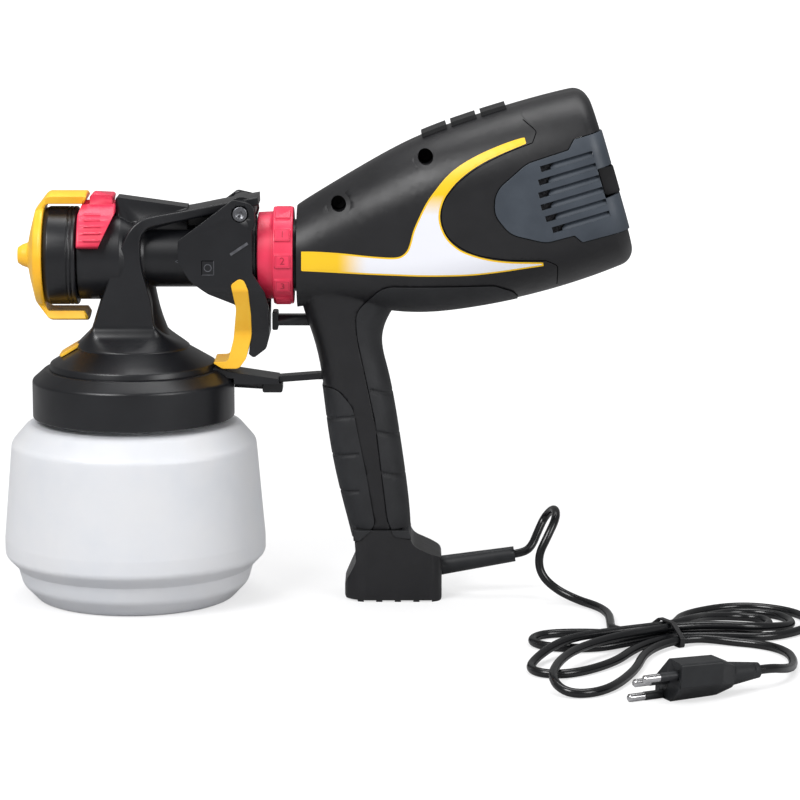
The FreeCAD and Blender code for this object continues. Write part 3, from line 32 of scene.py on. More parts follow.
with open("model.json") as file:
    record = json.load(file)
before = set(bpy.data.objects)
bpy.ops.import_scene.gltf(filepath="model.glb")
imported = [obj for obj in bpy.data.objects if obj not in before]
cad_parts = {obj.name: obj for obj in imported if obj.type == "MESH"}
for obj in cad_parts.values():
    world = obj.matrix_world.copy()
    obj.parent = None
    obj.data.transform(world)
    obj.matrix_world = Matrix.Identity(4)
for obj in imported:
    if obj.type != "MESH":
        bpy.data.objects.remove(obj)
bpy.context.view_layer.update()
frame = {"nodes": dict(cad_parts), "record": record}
nodes = frame["nodes"]
print("frame loaded:", len(nodes), "nodes")

mm = 0.001
barrelHeight = 189.5 * mm  # height of the spray axis


# Materials

# sRGB hex to linear RGBA
def linearColour(hexColour):
    parts = [int(hexColour[i:i + 2], 16) / 255 for i in (1, 3, 5)]
    return tuple(c / 12.92 if c <= 0.04045 else ((c + 0.055) / 1.055) ** 2.4 for c in parts) + (1.0,)


# Adds a shader node: settings are its sockets or attributes, links lead from (node, output) to an input, given by
# its name or as i0, i1 by its number
def addNode(material, kind, settings=None, **links):
    node = material.node_tree.nodes.new(kind)
    for name, value in (settings or {}).items():
        if name in node.inputs and not hasattr(type(node), name):
            node.inputs[name].default_value = value
        else:
            setattr(node, name, value)
    for name, (source, output) in links.items():
        socket = node.inputs[int(name[1:])] if name[0] == "i" else node.inputs[name.replace("_", " ")]
        material.node_tree.links.new(source.outputs[output], socket)
    return node


# A material with its Principled shader and an Object coordinate source
def newMaterial(name, colour, **sockets):
    material = bpy.data.materials.new(name)
    material.use_nodes = True
    shader = material.node_tree.nodes["Principled BSDF"]
    shader.inputs["Base Color"].default_value = linearColour(colour)
    for socket, value in sockets.items():
        shader.inputs[socket.replace("_", " ")].default_value = value
    material.diffuse_color = linearColour(colour)
    coordinates = addNode(material, "ShaderNodeTexCoord")
    return material, shader, coordinates


# Fine moulded grain: noise drives the bump; an edge radius catches the light as moulded edges do. Spark-eroded
# grain is 0.1 to 0.2 mm, too fine to show here, so it is drawn as coarse as it needs to show
def grain(material, shader, coordinates, sizeMm, depthMm, strength=0.5, edgeMm=0.0):
    noise = addNode(material, "ShaderNodeTexNoise", {"Scale": 1 / (sizeMm * mm), "Detail": 2.0},
                    Vector=(coordinates, "Object"))
    bump = addNode(material, "ShaderNodeBump", {"Strength": strength, "Distance": depthMm * mm},
                   Height=(noise, "Fac"))
    if edgeMm:
        rounded = addNode(material, "ShaderNodeBevel", {"samples": 6, "Radius": edgeMm * mm})
        material.node_tree.links.new(rounded.outputs["Normal"], bump.inputs["Normal"])
    material.node_tree.links.new(bump.outputs["Normal"], shader.inputs["Normal"])


# Slow colour variation between two hex colours, over the middle of the noise
def mottled(material, shader, coordinates, dark, light, sizeMm):
    noise = addNode(material, "ShaderNodeTexNoise", {"Scale": 1 / (sizeMm * mm), "Detail": 3.0},
                    Vector=(coordinates, "Object"))
    ramp = addNode(material, "ShaderNodeValToRGB", Fac=(noise, "Fac"))
    for element, position, colour in zip(ramp.color_ramp.elements, (0.35, 0.65), (dark, light)):
        element.position = position
        element.color = linearColour(colour)
    material.node_tree.links.new(ramp.outputs["Color"], shader.inputs["Base Color"])


# Roughness that drifts between two values, as handling and moulding leave it
def varied(material, shader, coordinates, low, high, sizeMm):
    noise = addNode(material, "ShaderNodeTexNoise", {"Scale": 1 / (sizeMm * mm), "Detail": 4.0},
                    Vector=(coordinates, "Object"))
    spread = addNode(material, "ShaderNodeMapRange", {"To Min": low, "To Max": high}, Value=(noise, "Fac"))
    material.node_tree.links.new(spread.outputs["Result"], shader.inputs["Roughness"])


# black ABS, spark-eroded mould: satin, with a grain that breaks up the highlight
housingAbs, shader, coords = newMaterial("moulded_abs_black", "#121215", Roughness=0.4)
mottled(housingAbs, shader, coords, "#101013", "#151518", 14)
grain(housingAbs, shader, coords, 0.45, 0.05, strength=0.35, edgeMm=0.35)
varied(housingAbs, shader, coords, 0.36, 0.5, 9)

# glass-filled nylon of the spray head: a little glossier and smoother
headNylon, shader, coords = newMaterial("moulded_nylon_black", "#111216", Roughness=0.34)
mottled(headNylon, shader, coords, "#0f1014", "#141519", 18)
grain(headNylon, shader, coords, 0.7, 0.04, strength=0.25, edgeMm=0.5)
varied(headNylon, shader, coords, 0.28, 0.42, 12)

# overmoulded rubber of the grips: matt and slightly lighter
gripRubber, shader, coords = newMaterial("overmoulded_grip_rubber", "#1b1c1f", Roughness=0.62)
mottled(gripRubber, shader, coords, "#18191c", "#1f2023", 10)
grain(gripRubber, shader, coords, 0.35, 0.06, strength=0.5, edgeMm=0.7)

# the harder rubber of the pads on top
padRubber, shader, coords = newMaterial("moulded_pad_rubber", "#0e0f11", Roughness=0.7)
mottled(padRubber, shader, coords, "#0c0d0f", "#121315", 8)
grain(padRubber, shader, coords, 0.35, 0.06, strength=0.4, edgeMm=0.5)

# slate grey ABS of the filter covers
coverAbs, shader, coords = newMaterial("moulded_abs_slate", "#3a414a", Roughness=0.45)
mottled(coverAbs, shader, coords, "#363d46", "#3e454e", 16)
grain(coverAbs, shader, coords, 0.5, 0.05, strength=0.35, edgeMm=0.5)

# yellow and red acetal, smooth moulded: soft gloss
yellowAcetal, shader, coords = newMaterial("moulded_acetal_yellow", "#fcc02c", Roughness=0.38)
mottled(yellowAcetal, shader, coords, "#f8b724", "#fdc838", 20)
grain(yellowAcetal, shader, coords, 0.8, 0.03, strength=0.25, edgeMm=0.6)

redAcetal, shader, coords = newMaterial("moulded_acetal_red", "#dd2f50", Roughness=0.36)
mottled(redAcetal, shader, coords, "#d62a4a", "#e63a5a", 16)
grain(redAcetal, shader, coords, 0.8, 0.03, strength=0.25, edgeMm=0.5)

# blow-moulded natural polyethylene: milky, lets light through, waxy surface
bottlePolyethylene, shader, coords = newMaterial("blow_moulded_polyethylene", "#f6f7fd", Roughness=0.36,
                                                 IOR=1.5, Subsurface_Weight=0.6, Subsurface_Scale=0.012)
shader.inputs["Subsurface Radius"].default_value = (1.0, 0.95, 0.9)
mottled(bottlePolyethylene, shader, coords, "#f2f4fb", "#fbfbff", 40)
grain(bottlePolyethylene, shader, coords, 3.0, 0.12, strength=0.25)

# moulded nitrile of the seals: matt black
nitrile, shader, coords = newMaterial("moulded_nitrile", "#151516", Roughness=0.6)
grain(nitrile, shader, coords, 0.5, 0.03)

# turned stainless steel: bright, broken up by fine tool marks
turnedSteel, shader, coords = newMaterial("turned_stainless_steel", "#b9babd", Roughness=0.28, Metallic=1.0)
grain(turnedSteel, shader, coords, 0.3, 0.02)
varied(turnedSteel, shader, coords, 0.22, 0.34, 3)

# zinc plating of the trigger's screw and nut: greyer and duller than bare steel
screwSteel, shader, coords = newMaterial("zinc_plated_steel", "#77787c", Roughness=0.35, Metallic=1.0)
grain(screwSteel, shader, coords, 0.4, 0.02)
varied(screwSteel, shader, coords, 0.28, 0.42, 3)

# black steel of the housing's sunk screws, drawn near black and with hardly any sheen as painted shade of the deep
# holes they sit in
screwShadeSteel, shader, coords = newMaterial("sunk_screw_shade_steel", "#0b0b0c", Roughness=0.6)
shader.inputs["Specular IOR Level"].default_value = 0.15
grain(screwShadeSteel, shader, coords, 0.4, 0.02)

# turned brass of the nozzle and the brush holders: warm and bright
turnedBrass, shader, coords = newMaterial("turned_brass", "#c9a253", Roughness=0.3, Metallic=1.0)
grain(turnedBrass, shader, coords, 0.3, 0.02)

# pressed aluminium of the impellers: pale and satin
pressedAluminium, shader, coords = newMaterial("pressed_aluminium", "#c6c8cc", Roughness=0.38, Metallic=1.0)
grain(pressedAluminium, shader, coords, 0.5, 0.02)

# lacquered sheet steel of the motor can: metal dulled by the lacquer
motorLacquer, shader, coords = newMaterial("lacquered_sheet_steel", "#4a4c50", Roughness=0.4, Metallic=0.6)
grain(motorLacquer, shader, coords, 0.8, 0.03)

# plain moulded plastic inside: flat dark grey
innerPlastic, shader, coords = newMaterial("moulded_plastic_plain", "#34353a", Roughness=0.55)
grain(innerPlastic, shader, coords, 0.5, 0.04)

# open-cell foam: no sheen, its pores of 1.1 mm darkened with painted shade
filterFoam, shader, coords = newMaterial("open_cell_foam", "#27282b", Roughness=0.95)
cells = addNode(filterFoam, "ShaderNodeTexVoronoi", {"Scale": 1 / (1.1 * mm)}, Vector=(coords, "Object"))
poreShadeRamp = addNode(filterFoam, "ShaderNodeValToRGB", Fac=(cells, "Distance"))
poreShadeRamp.color_ramp.elements[0].color = linearColour("#0d0d0e")
poreShadeRamp.color_ramp.elements[1].color = linearColour("#37383c")
filterFoam.node_tree.links.new(poreShadeRamp.outputs["Color"], shader.inputs["Base Color"])
foamBump = addNode(filterFoam, "ShaderNodeBump", {"Strength": 0.8, "Distance": 0.4 * mm},
                   Height=(cells, "Distance"))
filterFoam.node_tree.links.new(foamBump.outputs["Normal"], shader.inputs["Normal"])

# extruded natural polyethylene of the pickup tube: lets light through
clearTube, shader, coords = newMaterial("extruded_polyethylene", "#e4e6ea", Roughness=0.4, Transmission_Weight=0.4)
grain(clearTube, shader, coords, 1.2, 0.02)

# glossy black PVC of the cord; the plug's is matt
cordPvc, shader, coords = newMaterial("extruded_pvc_black", "#0f1012", Roughness=0.2)
grain(cordPvc, shader, coords, 4.0, 0.12, strength=0.35)
varied(cordPvc, shader, coords, 0.15, 0.3, 12)

plugPvc, shader, coords = newMaterial("moulded_pvc_black", "#17191c", Roughness=0.45)
mottled(plugPvc, shader, coords, "#141619", "#1b1d20", 8)
grain(plugPvc, shader, coords, 0.5, 0.05, strength=0.4, edgeMm=0.5)

# nickel plating of the pins: small sharp highlights
pinNickel, shader, coords = newMaterial("nickel_plated_brass", "#c9c9cb", Roughness=0.18, Metallic=1.0)
grain(pinNickel, shader, coords, 0.6, 0.01)
varied(pinNickel, shader, coords, 0.13, 0.26, 4)

# extruded sleeve of the tie: a soft gloss
tieWire, shader, coords = newMaterial("extruded_tie_black", "#141416", Roughness=0.4)
grain(tieWire, shader, coords, 0.6, 0.03)

finishes = {
    "spray_head": headNylon, "cup_lid": headNylon, "spring_cap": headNylon, "cap_nut": headNylon,
    "trigger_body": headNylon, "guard_link": headNylon, "guard_clip": headNylon, "switch_rod": headNylon,
    "housing_left": housingAbs, "housing_right": housingAbs, "rear_shroud": housingAbs,
    "cover_latch_left": housingAbs, "cover_latch_right": housingAbs,
    "grip_front": gripRubber, "grip_rear": gripRubber, "top_grip_pads": padRubber,
    "filter_cover_left": coverAbs, "filter_cover_right": coverAbs,
    "filter_foam_left": filterFoam, "filter_foam_right": filterFoam,
    "air_cap": yellowAcetal, "badge_plate": yellowAcetal, "trigger_pad": yellowAcetal,
    "jet_switch": redAcetal, "lock_ring": redAcetal,
    "container": bottlePolyethylene, "pickup_tube": clearTube,
    "lid_gasket": nitrile, "needle_packing": nitrile, "nozzle_seal": nitrile, "motor_mounts": nitrile,
    "fluid_tube": turnedSteel, "needle": turnedSteel, "needle_yoke": turnedSteel, "needle_spring": turnedSteel,
    "rotor_shaft": turnedSteel, "motor_bearings": turnedSteel,
    "trigger_screw": screwSteel, "trigger_nut": screwSteel, "housing_screws": screwShadeSteel,
    "fluid_nozzle": turnedBrass, "brush_holders": turnedBrass,
    "impeller_front": pressedAluminium, "impeller_rear": pressedAluminium,
    "motor_can": motorLacquer, "turbine_casing": innerPlastic, "air_duct": innerPlastic,
    "power_switch": innerPlastic, "strain_relief": plugPvc, "twist_tie": tieWire, "plug_body": plugPvc,
    "plug_pins": pinNickel, "plug_sleeves": plugPvc,
    "cord_lead": cordPvc, "cord_hank": cordPvc, "cord_tail": cordPvc,
}
for name, finish in finishes.items():
    nodes[name].data.materials.clear()
    nodes[name].data.materials.append(finish)
print("materials on", len(finishes), "nodes")


# Mesh helpers

# A new object in the scene for a mesh, a curve, a lamp or a camera
def placed(name, data):
    piece = bpy.data.objects.new(name, data)
    bpy.context.collection.objects.link(piece)
    return piece


# A surface from an array of points [u, v, xyz]: corner (u, v) has index u * columns + v; v may close on itself
def gridMesh(name, points, material, closedV=False, smooth=True):
    rows, columns = points.shape[:2]
    u, v = np.meshgrid(np.arange(rows - 1), np.arange(columns if closedV else columns - 1), indexing="ij")
    nextV = (v + 1) % columns
    faces = np.stack([u * columns + v, (u + 1) * columns + v, (u + 1) * columns + nextV, u * columns + nextV], -1)
    mesh = bpy.data.meshes.new(name)
    mesh.from_pydata(points.reshape(-1, 3).tolist(), [], faces.reshape(-1, 4).tolist())
    mesh.polygons.foreach_set("use_smooth", np.full(len(mesh.polygons), smooth))
    mesh.materials.append(material)
    mesh.update()
    return placed(name, mesh)


# The CAD body that a node belongs to
def body(node):
    return next(name for name, listed in frame["record"]["behaviour"]["bodies"].items() if node in listed)


# Merges doubles and turns the faces outwards
def recalculated(mesh):
    build = bmesh.new()
    build.from_mesh(mesh)
    bmesh.ops.remove_doubles(build, verts=build.verts, dist=0.001 * mm)
    bmesh.ops.recalc_face_normals(build, faces=build.faces)
    build.to_mesh(mesh)
    build.free()


skinValues = {"angle": 27.0, "mergeMm": 0.002, "collapseMm": 0.001}


# A merged copy of a CAD node with soft shading over its shallow edges, shown in its place
def smoothCopy(node):
    mesh = nodes[node].data.copy()
    mesh.name = node + "_skin"
    build = bmesh.new()
    build.from_mesh(mesh)
    bmesh.ops.remove_doubles(build, verts=build.verts, dist=skinValues["mergeMm"] * mm)
    bmesh.ops.dissolve_degenerate(build, edges=build.edges, dist=skinValues["collapseMm"] * mm)
    build.to_mesh(mesh)
    build.free()
    mesh.polygons.foreach_set("use_smooth", np.ones(len(mesh.polygons), bool))
    mesh.set_sharp_from_angle(angle=math.radians(skinValues["angle"]))
    piece = placed(node + "_skin", mesh)
    weighted = piece.modifiers.new("weighted", "WEIGHTED_NORMAL")
    weighted.keep_sharp = True
    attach(piece, body(node))
    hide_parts(node)


skins = [
    "spray_head", "cup_lid", "cap_nut", "air_cap", "jet_switch", "lock_ring", "trigger_body", "trigger_pad",
    "housing_left", "housing_right", "rear_shroud", "grip_front", "grip_rear", "top_grip_pads",
    "filter_cover_left", "filter_cover_right", "cover_latch_left", "cover_latch_right", "switch_rod",
    "guard_link", "guard_clip", "strain_relief", "plug_body", "plug_pins", "plug_sleeves", "badge_plate",
    "container", "trigger_screw", "twist_tie",
]
for node in skins:
    smoothCopy(node)
print("smooth skins on", len(skins), "nodes")


# Lines in side view (x, z in mm) and what presses them onto the skins

# A Catmull-Rom line through the corners, sampled at count even steps of their index
def smoothLine(corners, count):
    c = np.array(corners, float)
    c = np.vstack([2 * c[0] - c[1], c, 2 * c[-1] - c[-2]])
    t = np.linspace(0, len(corners) - 1, count)
    i = np.minimum(t.astype(int), len(corners) - 2)
    f = (t - i)[:, None]
    p0, p1, p2, p3 = c[i], c[i + 1], c[i + 2], c[i + 3]
    bend, swing = 2 * p0 - 5 * p1 + 4 * p2 - p3, 3 * p1 - p0 - 3 * p2 + p3
    return 0.5 * (2 * p1 + (p2 - p0) * f + bend * f ** 2 + swing * f ** 3)


# A circle, closed on its first point
def circleLine(x, z, radius, count):
    turn = np.linspace(0, 2 * math.pi, count)
    return np.stack([x + radius * np.cos(turn), z + radius * np.sin(turn)], -1)


# Unit vectors square to some steps, on their right: (x, z) turned to (z, -x)
def squareTo(step):
    return np.stack([step[:, 1], -step[:, 0]], -1) / np.linalg.norm(step, axis=1)[:, None]


# The outer surface of some skins, to press pieces onto
def surfaceOf(names):
    corners, faces = [], []
    for name in names:
        mesh = bpy.data.objects[name + "_skin"].data
        first = len(corners)
        corners += [v.co.copy() for v in mesh.vertices]
        faces += [[first + k for k in p.vertices] for p in mesh.polygons]
    return BVHTree.FromPolygons(corners, faces)


# A point of a side view (mm) on the surface, and the surface's normal there, seen from 0.2 m to the side
def pressed(surface, side, x, z):
    place, normal, *rest = surface.ray_cast((x * mm, side * 0.2, z * mm), (0, -side, 0))
    return np.array(place), np.array(normal) * (1 if normal.y * side > 0 else -1)


# A narrow strip along a side-view line, pressed onto the skins
def pressedStrip(name, side, line, skinNames, width, proud, material, owner, slot):
    line = np.array(line, float)
    step = np.gradient(line, axis=0)
    across = squareTo(step) * width / 2
    surface = surfaceOf(skinNames)
    rows = []
    for point, offset in zip(line, across):
        row = [pressed(surface, side, *(point + offset * k)) for k in (-1, 0, 1)]
        rows.append([place + normal * proud * mm for place, normal in row])
    piece = gridMesh(name, np.array(rows if side < 0 else rows[::-1]), material)
    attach(piece, owner)


# Figures on the raised pads of the lock ring, and frames round them

ringMm = {
    "radius": 27.35, "station": 83.0, "firstAngle": 28.0, "pitch": 31.0, "height": 5.6, "relief": 0.12,
    "frame": (6.6, 7.4), "line": 0.45,
}

# the raised lines of the figures and frames in darker red: on the frames it is painted shade of lines that are
# sunk on the real ring
ringLineRed, shader, coords = newMaterial("embossed_acetal_dark_red", "#a81f3a", Roughness=0.4)
varied(ringLineRed, shader, coords, 0.4, 0.55, 3)


# Flat points (along, up) wrapped on the ring: along becomes an angle, up becomes the station
def wrapOnRing(name, flat, faces, angle):
    turn = math.radians(angle) + flat[:, 0] / ringMm["radius"]
    radius = ringMm["radius"] + flat[:, 2]
    points = np.stack([ringMm["station"] + flat[:, 1], -np.sin(turn) * radius, np.cos(turn) * radius], -1) * mm
    points[:, 2] += barrelHeight
    mesh = bpy.data.meshes.new(name)
    mesh.from_pydata(points.tolist(), [], faces)
    mesh.materials.append(ringLineRed)
    piece = placed(name, mesh)
    recalculated(mesh)
    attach(piece, "lock_ring")


# Flat corners and faces of a figure, from Blender's own font, centred
def figureMesh(text):
    font = bpy.data.curves.new("figure_" + text, "FONT")
    font.body, font.size, font.extrude = text, ringMm["height"], ringMm["relief"]
    font.resolution_u = 3
    font.align_x, font.align_y = "CENTER", "CENTER"
    holder = bpy.data.objects.new("figure_" + text, font)
    mesh = bpy.data.meshes.new_from_object(holder)
    corners = np.zeros(len(mesh.vertices) * 3)
    mesh.vertices.foreach_get("co", corners)
    faces = [list(p.vertices) for p in mesh.polygons]
    bpy.data.objects.remove(holder)
    return corners.reshape(-1, 3), faces


# A flat rectangular frame with a little thickness: corners 0-3 outside, 4-7 inside, the same below from 8
def frameMesh():
    width, height = ringMm["frame"]
    outer = np.array([(-width, -height), (width, -height), (width, height), (-width, height)]) / 2
    flat = np.vstack([outer, outer - np.sign(outer) * ringMm["line"]])
    points = np.vstack([np.c_[flat, np.full(8, share * ringMm["relief"])] for share in (1, -1)])
    faces = []
    for i in range(4):
        j = (i + 1) % 4
        faces += [[i, j, 4 + j, 4 + i], [8 + i, 12 + i, 12 + j, 8 + j],
                  [i, 8 + i, 8 + j, j], [4 + i, 4 + j, 12 + j, 12 + i]]
    return points, faces


for side, word in ((-1, "left"), (1, "right")):
    for i, figure in enumerate("123"):
        angle = -side * (ringMm["firstAngle"] + ringMm["pitch"] * (i + 1))
        points, faces = figureMesh(figure)
        upright = points[:, [1, 0, 2]] * (side, -side, 1)
        wrapOnRing(f"ring_figure_{word}_{figure}", upright, faces, angle)
        wrapOnRing(f"ring_frame_{word}_{figure}", *frameMesh(), angle)
print("figures on the lock ring")


# Decal: a swoosh in front of the shroud's seam, a thin printed film on each side

decalMm = {
    "top": [  # along the band, then up the arm; x, z
        (93.3, 194.9), (101.1, 195.0), (115.1, 194.4), (128.9, 193.3), (139.0, 192.8), (144.6, 193.0),
        (147.8, 194.3), (150.2, 196.9), (151.6, 200.6), (153.3, 207.1), (156.0, 213.7), (160.1, 222.1),
        (165.2, 229.4), (171.4, 236.8), (178.6, 242.6), (187.0, 247.4), (195.2, 251.2), (203.6, 254.5),
        (210.2, 256.6), (212.3, 257.1),
    ],
    "seam": [  # back down just ahead of the shroud's nose
        (213.2, 254.0), (207.4, 251.7), (198.7, 248.0), (190.2, 243.8), (182.2, 238.6), (175.1, 232.2),
        (169.5, 224.0), (167.6, 214.4), (170.7, 205.0), (177.6, 198.2), (186.7, 194.4), (196.2, 192.2),
        (205.7, 191.2), (215.1, 190.9), (222.6, 190.7),
    ],
    "bottom": [
        (222.8, 188.7), (211.7, 187.1), (202.5, 185.7), (193.3, 184.5), (183.2, 183.5), (170.3, 183.0),
        (156.6, 182.8), (142.7, 183.0), (128.9, 183.2), (115.0, 183.6), (101.1, 184.1), (93.2, 184.4),
    ],
    "proud": 0.16, "panelProud": 0.26, "border": 0.85, "cell": 2.0, "step": 0.9, "samples": 110,
    "insetKeep": 0.97, "cellKeep": 0.35,  # shares of the inset and of a cell that points keep from the line
    "frontFade": (112, 130), "armFade": (216, 227),  # x and z where yellow turns white, and white yellow again
}


# The side-view line moved inward, without the stretches that would come nearer to the line than that
def insetLine(line, distance):
    step = np.roll(line, -1, 0) - np.roll(line, 1, 0)
    moved = line + squareTo(step) * distance
    return moved[distanceTo(moved, line) > distance * decalMm["insetKeep"]]


# A closed line sampled at even steps
def evenLine(line, step):
    closed = np.vstack([line, line[:1]])
    run = np.r_[0, np.cumsum(np.linalg.norm(np.diff(closed, axis=0), axis=1))]
    at = np.linspace(0, run[-1], round(run[-1] / step), endpoint=False)
    return np.stack([np.interp(at, run, closed[:, k]) for k in (0, 1)], -1)


# How far each point is from a closed line: the nearest place on each stretch, and the least of these
def distanceTo(points, line):
    span = np.roll(line, -1, 0) - line
    share = ((points[:, None] - line) * span).sum(-1) / (span ** 2).sum(-1)
    nearest = line + span * np.clip(share, 0, 1)[..., None]
    return np.linalg.norm(points[:, None] - nearest, axis=-1).min(1)


# Whether points lie inside a closed line: a ray along x crosses it an odd number of times
def insideLine(points, line):
    (x0, z0), (x1, z1) = line.T, np.roll(line, -1, 0).T
    x, z = points[:, :1], points[:, 1:]
    with np.errstate(divide="ignore", invalid="ignore"):
        crossing = ((z0 > z) != (z1 > z)) & (x < x0 + (z - z0) * (x1 - x0) / (z1 - z0))
    return crossing.sum(1) % 2 == 1


# A thin film with a closed outline, filled with triangles over even cells and pressed sideways onto the housing
def filmSheet(name, side, line, proud, material):
    cell = decalMm["cell"]
    low, high = line.min(0), line.max(0)
    u, v = np.meshgrid(np.arange(low[0], high[0], cell), np.arange(low[1], high[1], cell), indexing="ij")
    grid = np.stack([u.ravel(), v.ravel()], -1)
    grid = grid[insideLine(grid, line)]
    grid = grid[distanceTo(grid, line) > cell * decalMm["cellKeep"]]
    flat = [mathutils.Vector(p) for p in np.vstack([line, grid])]
    corners, _, faces, *_ = mathutils.geometry.delaunay_2d_cdt(flat, [], [list(range(len(line)))], 1, 0.0001)
    surface = surfaceOf(["housing_left" if side < 0 else "housing_right", "rear_shroud"])
    places = [pressed(surface, side, *c) for c in corners]
    mesh = bpy.data.meshes.new(name)
    mesh.from_pydata([(place + normal * proud * mm).tolist() for place, normal in places], [],
                     [f if side < 0 else f[::-1] for f in faces])
    mesh.polygons.foreach_set("use_smooth", np.ones(len(mesh.polygons), bool))
    mesh.materials.append(material)
    piece = placed(name, mesh)
    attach(piece, "root")


# the print's panel: glossy, yellow at its front and up its arm, white between
decalFilm, shader, coords = newMaterial("printed_vinyl_film", "#f3f4f8", Roughness=0.3)
filmPlace = addNode(decalFilm, "ShaderNodeSeparateXYZ", Vector=(coords, "Object"))
fadeFrom, fadeTo = decalMm["frontFade"]
fade = addNode(decalFilm, "ShaderNodeMapRange",
               {"From Min": fadeFrom * mm, "From Max": fadeTo * mm, "interpolation_type": "SMOOTHSTEP"},
               Value=(filmPlace, "X"))
fadeFrom, fadeTo = decalMm["armFade"]
rising = addNode(decalFilm, "ShaderNodeMapRange",
                 {"From Min": fadeFrom * mm, "From Max": fadeTo * mm, "To Min": 1.0, "To Max": 0.0},
                 Value=(filmPlace, "Z"))
whiteShare = addNode(decalFilm, "ShaderNodeMath", {"operation": "MULTIPLY"},
                     i0=(fade, "Result"), i1=(rising, "Result"))
inks = addNode(decalFilm, "ShaderNodeMix", {"data_type": "RGBA"}, i0=(whiteShare, "Value"))
for socket, colour in ((6, "#f3c41c"), (7, "#e8e9f0")):  # the mix's first and second colour
    inks.inputs[socket].default_value = linearColour(colour)
decalFilm.node_tree.links.new(inks.outputs[2], shader.inputs["Base Color"])
filmMottle = addNode(decalFilm, "ShaderNodeTexNoise", {"Scale": 1 / (12 * mm), "Detail": 3.0},
                     Vector=(coords, "Object"))
filmRough = addNode(decalFilm, "ShaderNodeMapRange", {"To Min": 0.24, "To Max": 0.38}, Value=(filmMottle, "Fac"))
decalFilm.node_tree.links.new(filmRough.outputs["Result"], shader.inputs["Roughness"])

# its plain yellow rim
borderFilm, shader, coords = newMaterial("printed_vinyl_yellow", "#f7c61c", Roughness=0.3)
varied(borderFilm, shader, coords, 0.24, 0.38, 10)

edges = [smoothLine(decalMm[edge], decalMm["samples"]) for edge in ("top", "seam", "bottom")]
decalLine = evenLine(np.vstack(edges), decalMm["step"])
for side, word in ((-1, "left"), (1, "right")):
    filmSheet(f"decal_{word}_ground", side, decalLine, decalMm["proud"], borderFilm)
    filmSheet(f"decal_{word}_panel", side, insetLine(decalLine, decalMm["border"]), decalMm["panelProud"],
              decalFilm)
print("decal pressed on")


# Parting line of the rear shroud: a narrow dark groove behind the decal, above and below it

partingMm = {
    "above": [(211.6, 266.0), (214.2, 264.0), (217.4, 261.4), (218.4, 259.8), (217.6, 257.4), (216.5, 254.6)],
    "below": [(224.6, 191.4), (227.8, 190.0), (230.2, 188.3), (230.6, 185.0), (230.7, 181.0), (230.8, 177.0)],
    "nose": [(216.5, 254.5), (203.0, 249.2), (190.3, 243.0), (181.9, 237.4), (175.0, 231.0), (169.9, 223.8),
             (168.3, 216.5), (169.2, 209.6), (172.5, 203.6), (179.9, 198.0), (190.0, 194.2), (207.0, 191.9),
             (224.5, 191.6)],
    "width": 0.45, "proud": 0.05, "samples": 60,
}

# the shadow in a parting line: black without any sheen
grooveBlack, shader, coords = newMaterial("parting_line_shadow", "#050506", Roughness=0.9)
shader.inputs["Specular IOR Level"].default_value = 0.0
grain(grooveBlack, shader, coords, 0.5, 0.02)

for side, word in ((-1, "left"), (1, "right")):
    for stretch in ("above", "below", "nose"):
        pressedStrip(f"parting_{word}_{stretch}", side, smoothLine(partingMm[stretch], partingMm["samples"]),
                     ["housing_" + word, "rear_shroud"], partingMm["width"], partingMm["proud"], grooveBlack,
                     "root", "housing_plastic")
print("parting line pressed on")


# Marks: a ring in a square window on each cheek of the trigger, a short rib behind it, a triangle on the barrel

markMm = {
    "ring": (43.0, 186.0, 1.9), "window": (43.0, 186.0, 6.4, 7.6),  # middle, then radius, or width and height
    "rib": [(55.2, 193.2), (64.6, 199.4)], "triangle": [(24.9, 188.2), (29.0, 190.2), (29.0, 186.2)],
    "ringLine": (0.5, 0.12), "windowLine": (0.35, 0.1), "ribLine": (1.5, 0.5),  # width and relief of each
    "triangleLine": (0.4, 0.1),
}

# painted highlight of the nylon's raised edges: paler than the rest
paintedHighlightNylon, shader, coords = newMaterial("moulded_nylon_painted_highlight", "#4a4b50", Roughness=0.42)
mottled(paintedHighlightNylon, shader, coords, "#404146", "#54555a", 3)


# A straight raised line from one side-view point to another, at count even shares of the way
def markLine(name, side, start, end, count, line, material, skin, owner):
    start, end = np.array(start), np.array(end)
    points = start + (end - start) * np.linspace(0, 1, count)[:, None]
    pressedStrip(name, side, points, [skin], *line, material, owner, "head_plastic")


middleX, middleZ, wide, high = markMm["window"]
window = [(middleX + x * wide / 2, middleZ + z * high / 2) for x, z in ((-1, -1), (1, -1), (1, 1), (-1, 1))]
triangle = markMm["triangle"]
# the ring, the rib, the triangle and the window's lower and rear edges carry a painted highlight, the window's
# upper and front edges a painted shadow
for side, word in ((-1, "left"), (1, "right")):
    pressedStrip(f"trigger_ring_mark_{word}", side, circleLine(*markMm["ring"], 33), ["trigger_body"],
                 *markMm["ringLine"], paintedHighlightNylon, "trigger", "head_plastic")
    for i in range(4):  # the upper and the front edge lie in shadow
        markLine(f"trigger_window_edge_{word}_{i + 1}", side, window[i], window[(i + 1) % 4], 5,
                 markMm["windowLine"], grooveBlack if i > 1 else paintedHighlightNylon, "trigger_body", "trigger")
    markLine(f"trigger_rib_{word}", side, *markMm["rib"], 7, markMm["ribLine"], paintedHighlightNylon, "trigger_body",
             "trigger")
    for i in range(3):
        markLine(f"barrel_mark_{word}_{i + 1}", side, triangle[i], triangle[(i + 1) % 3], 5,
                 markMm["triangleLine"], paintedHighlightNylon, "spray_head", "root")
print("marks on trigger and barrel")


# Ribbon of the spray head: up the front of the column, round the barrel and back over it to the trigger's pivot

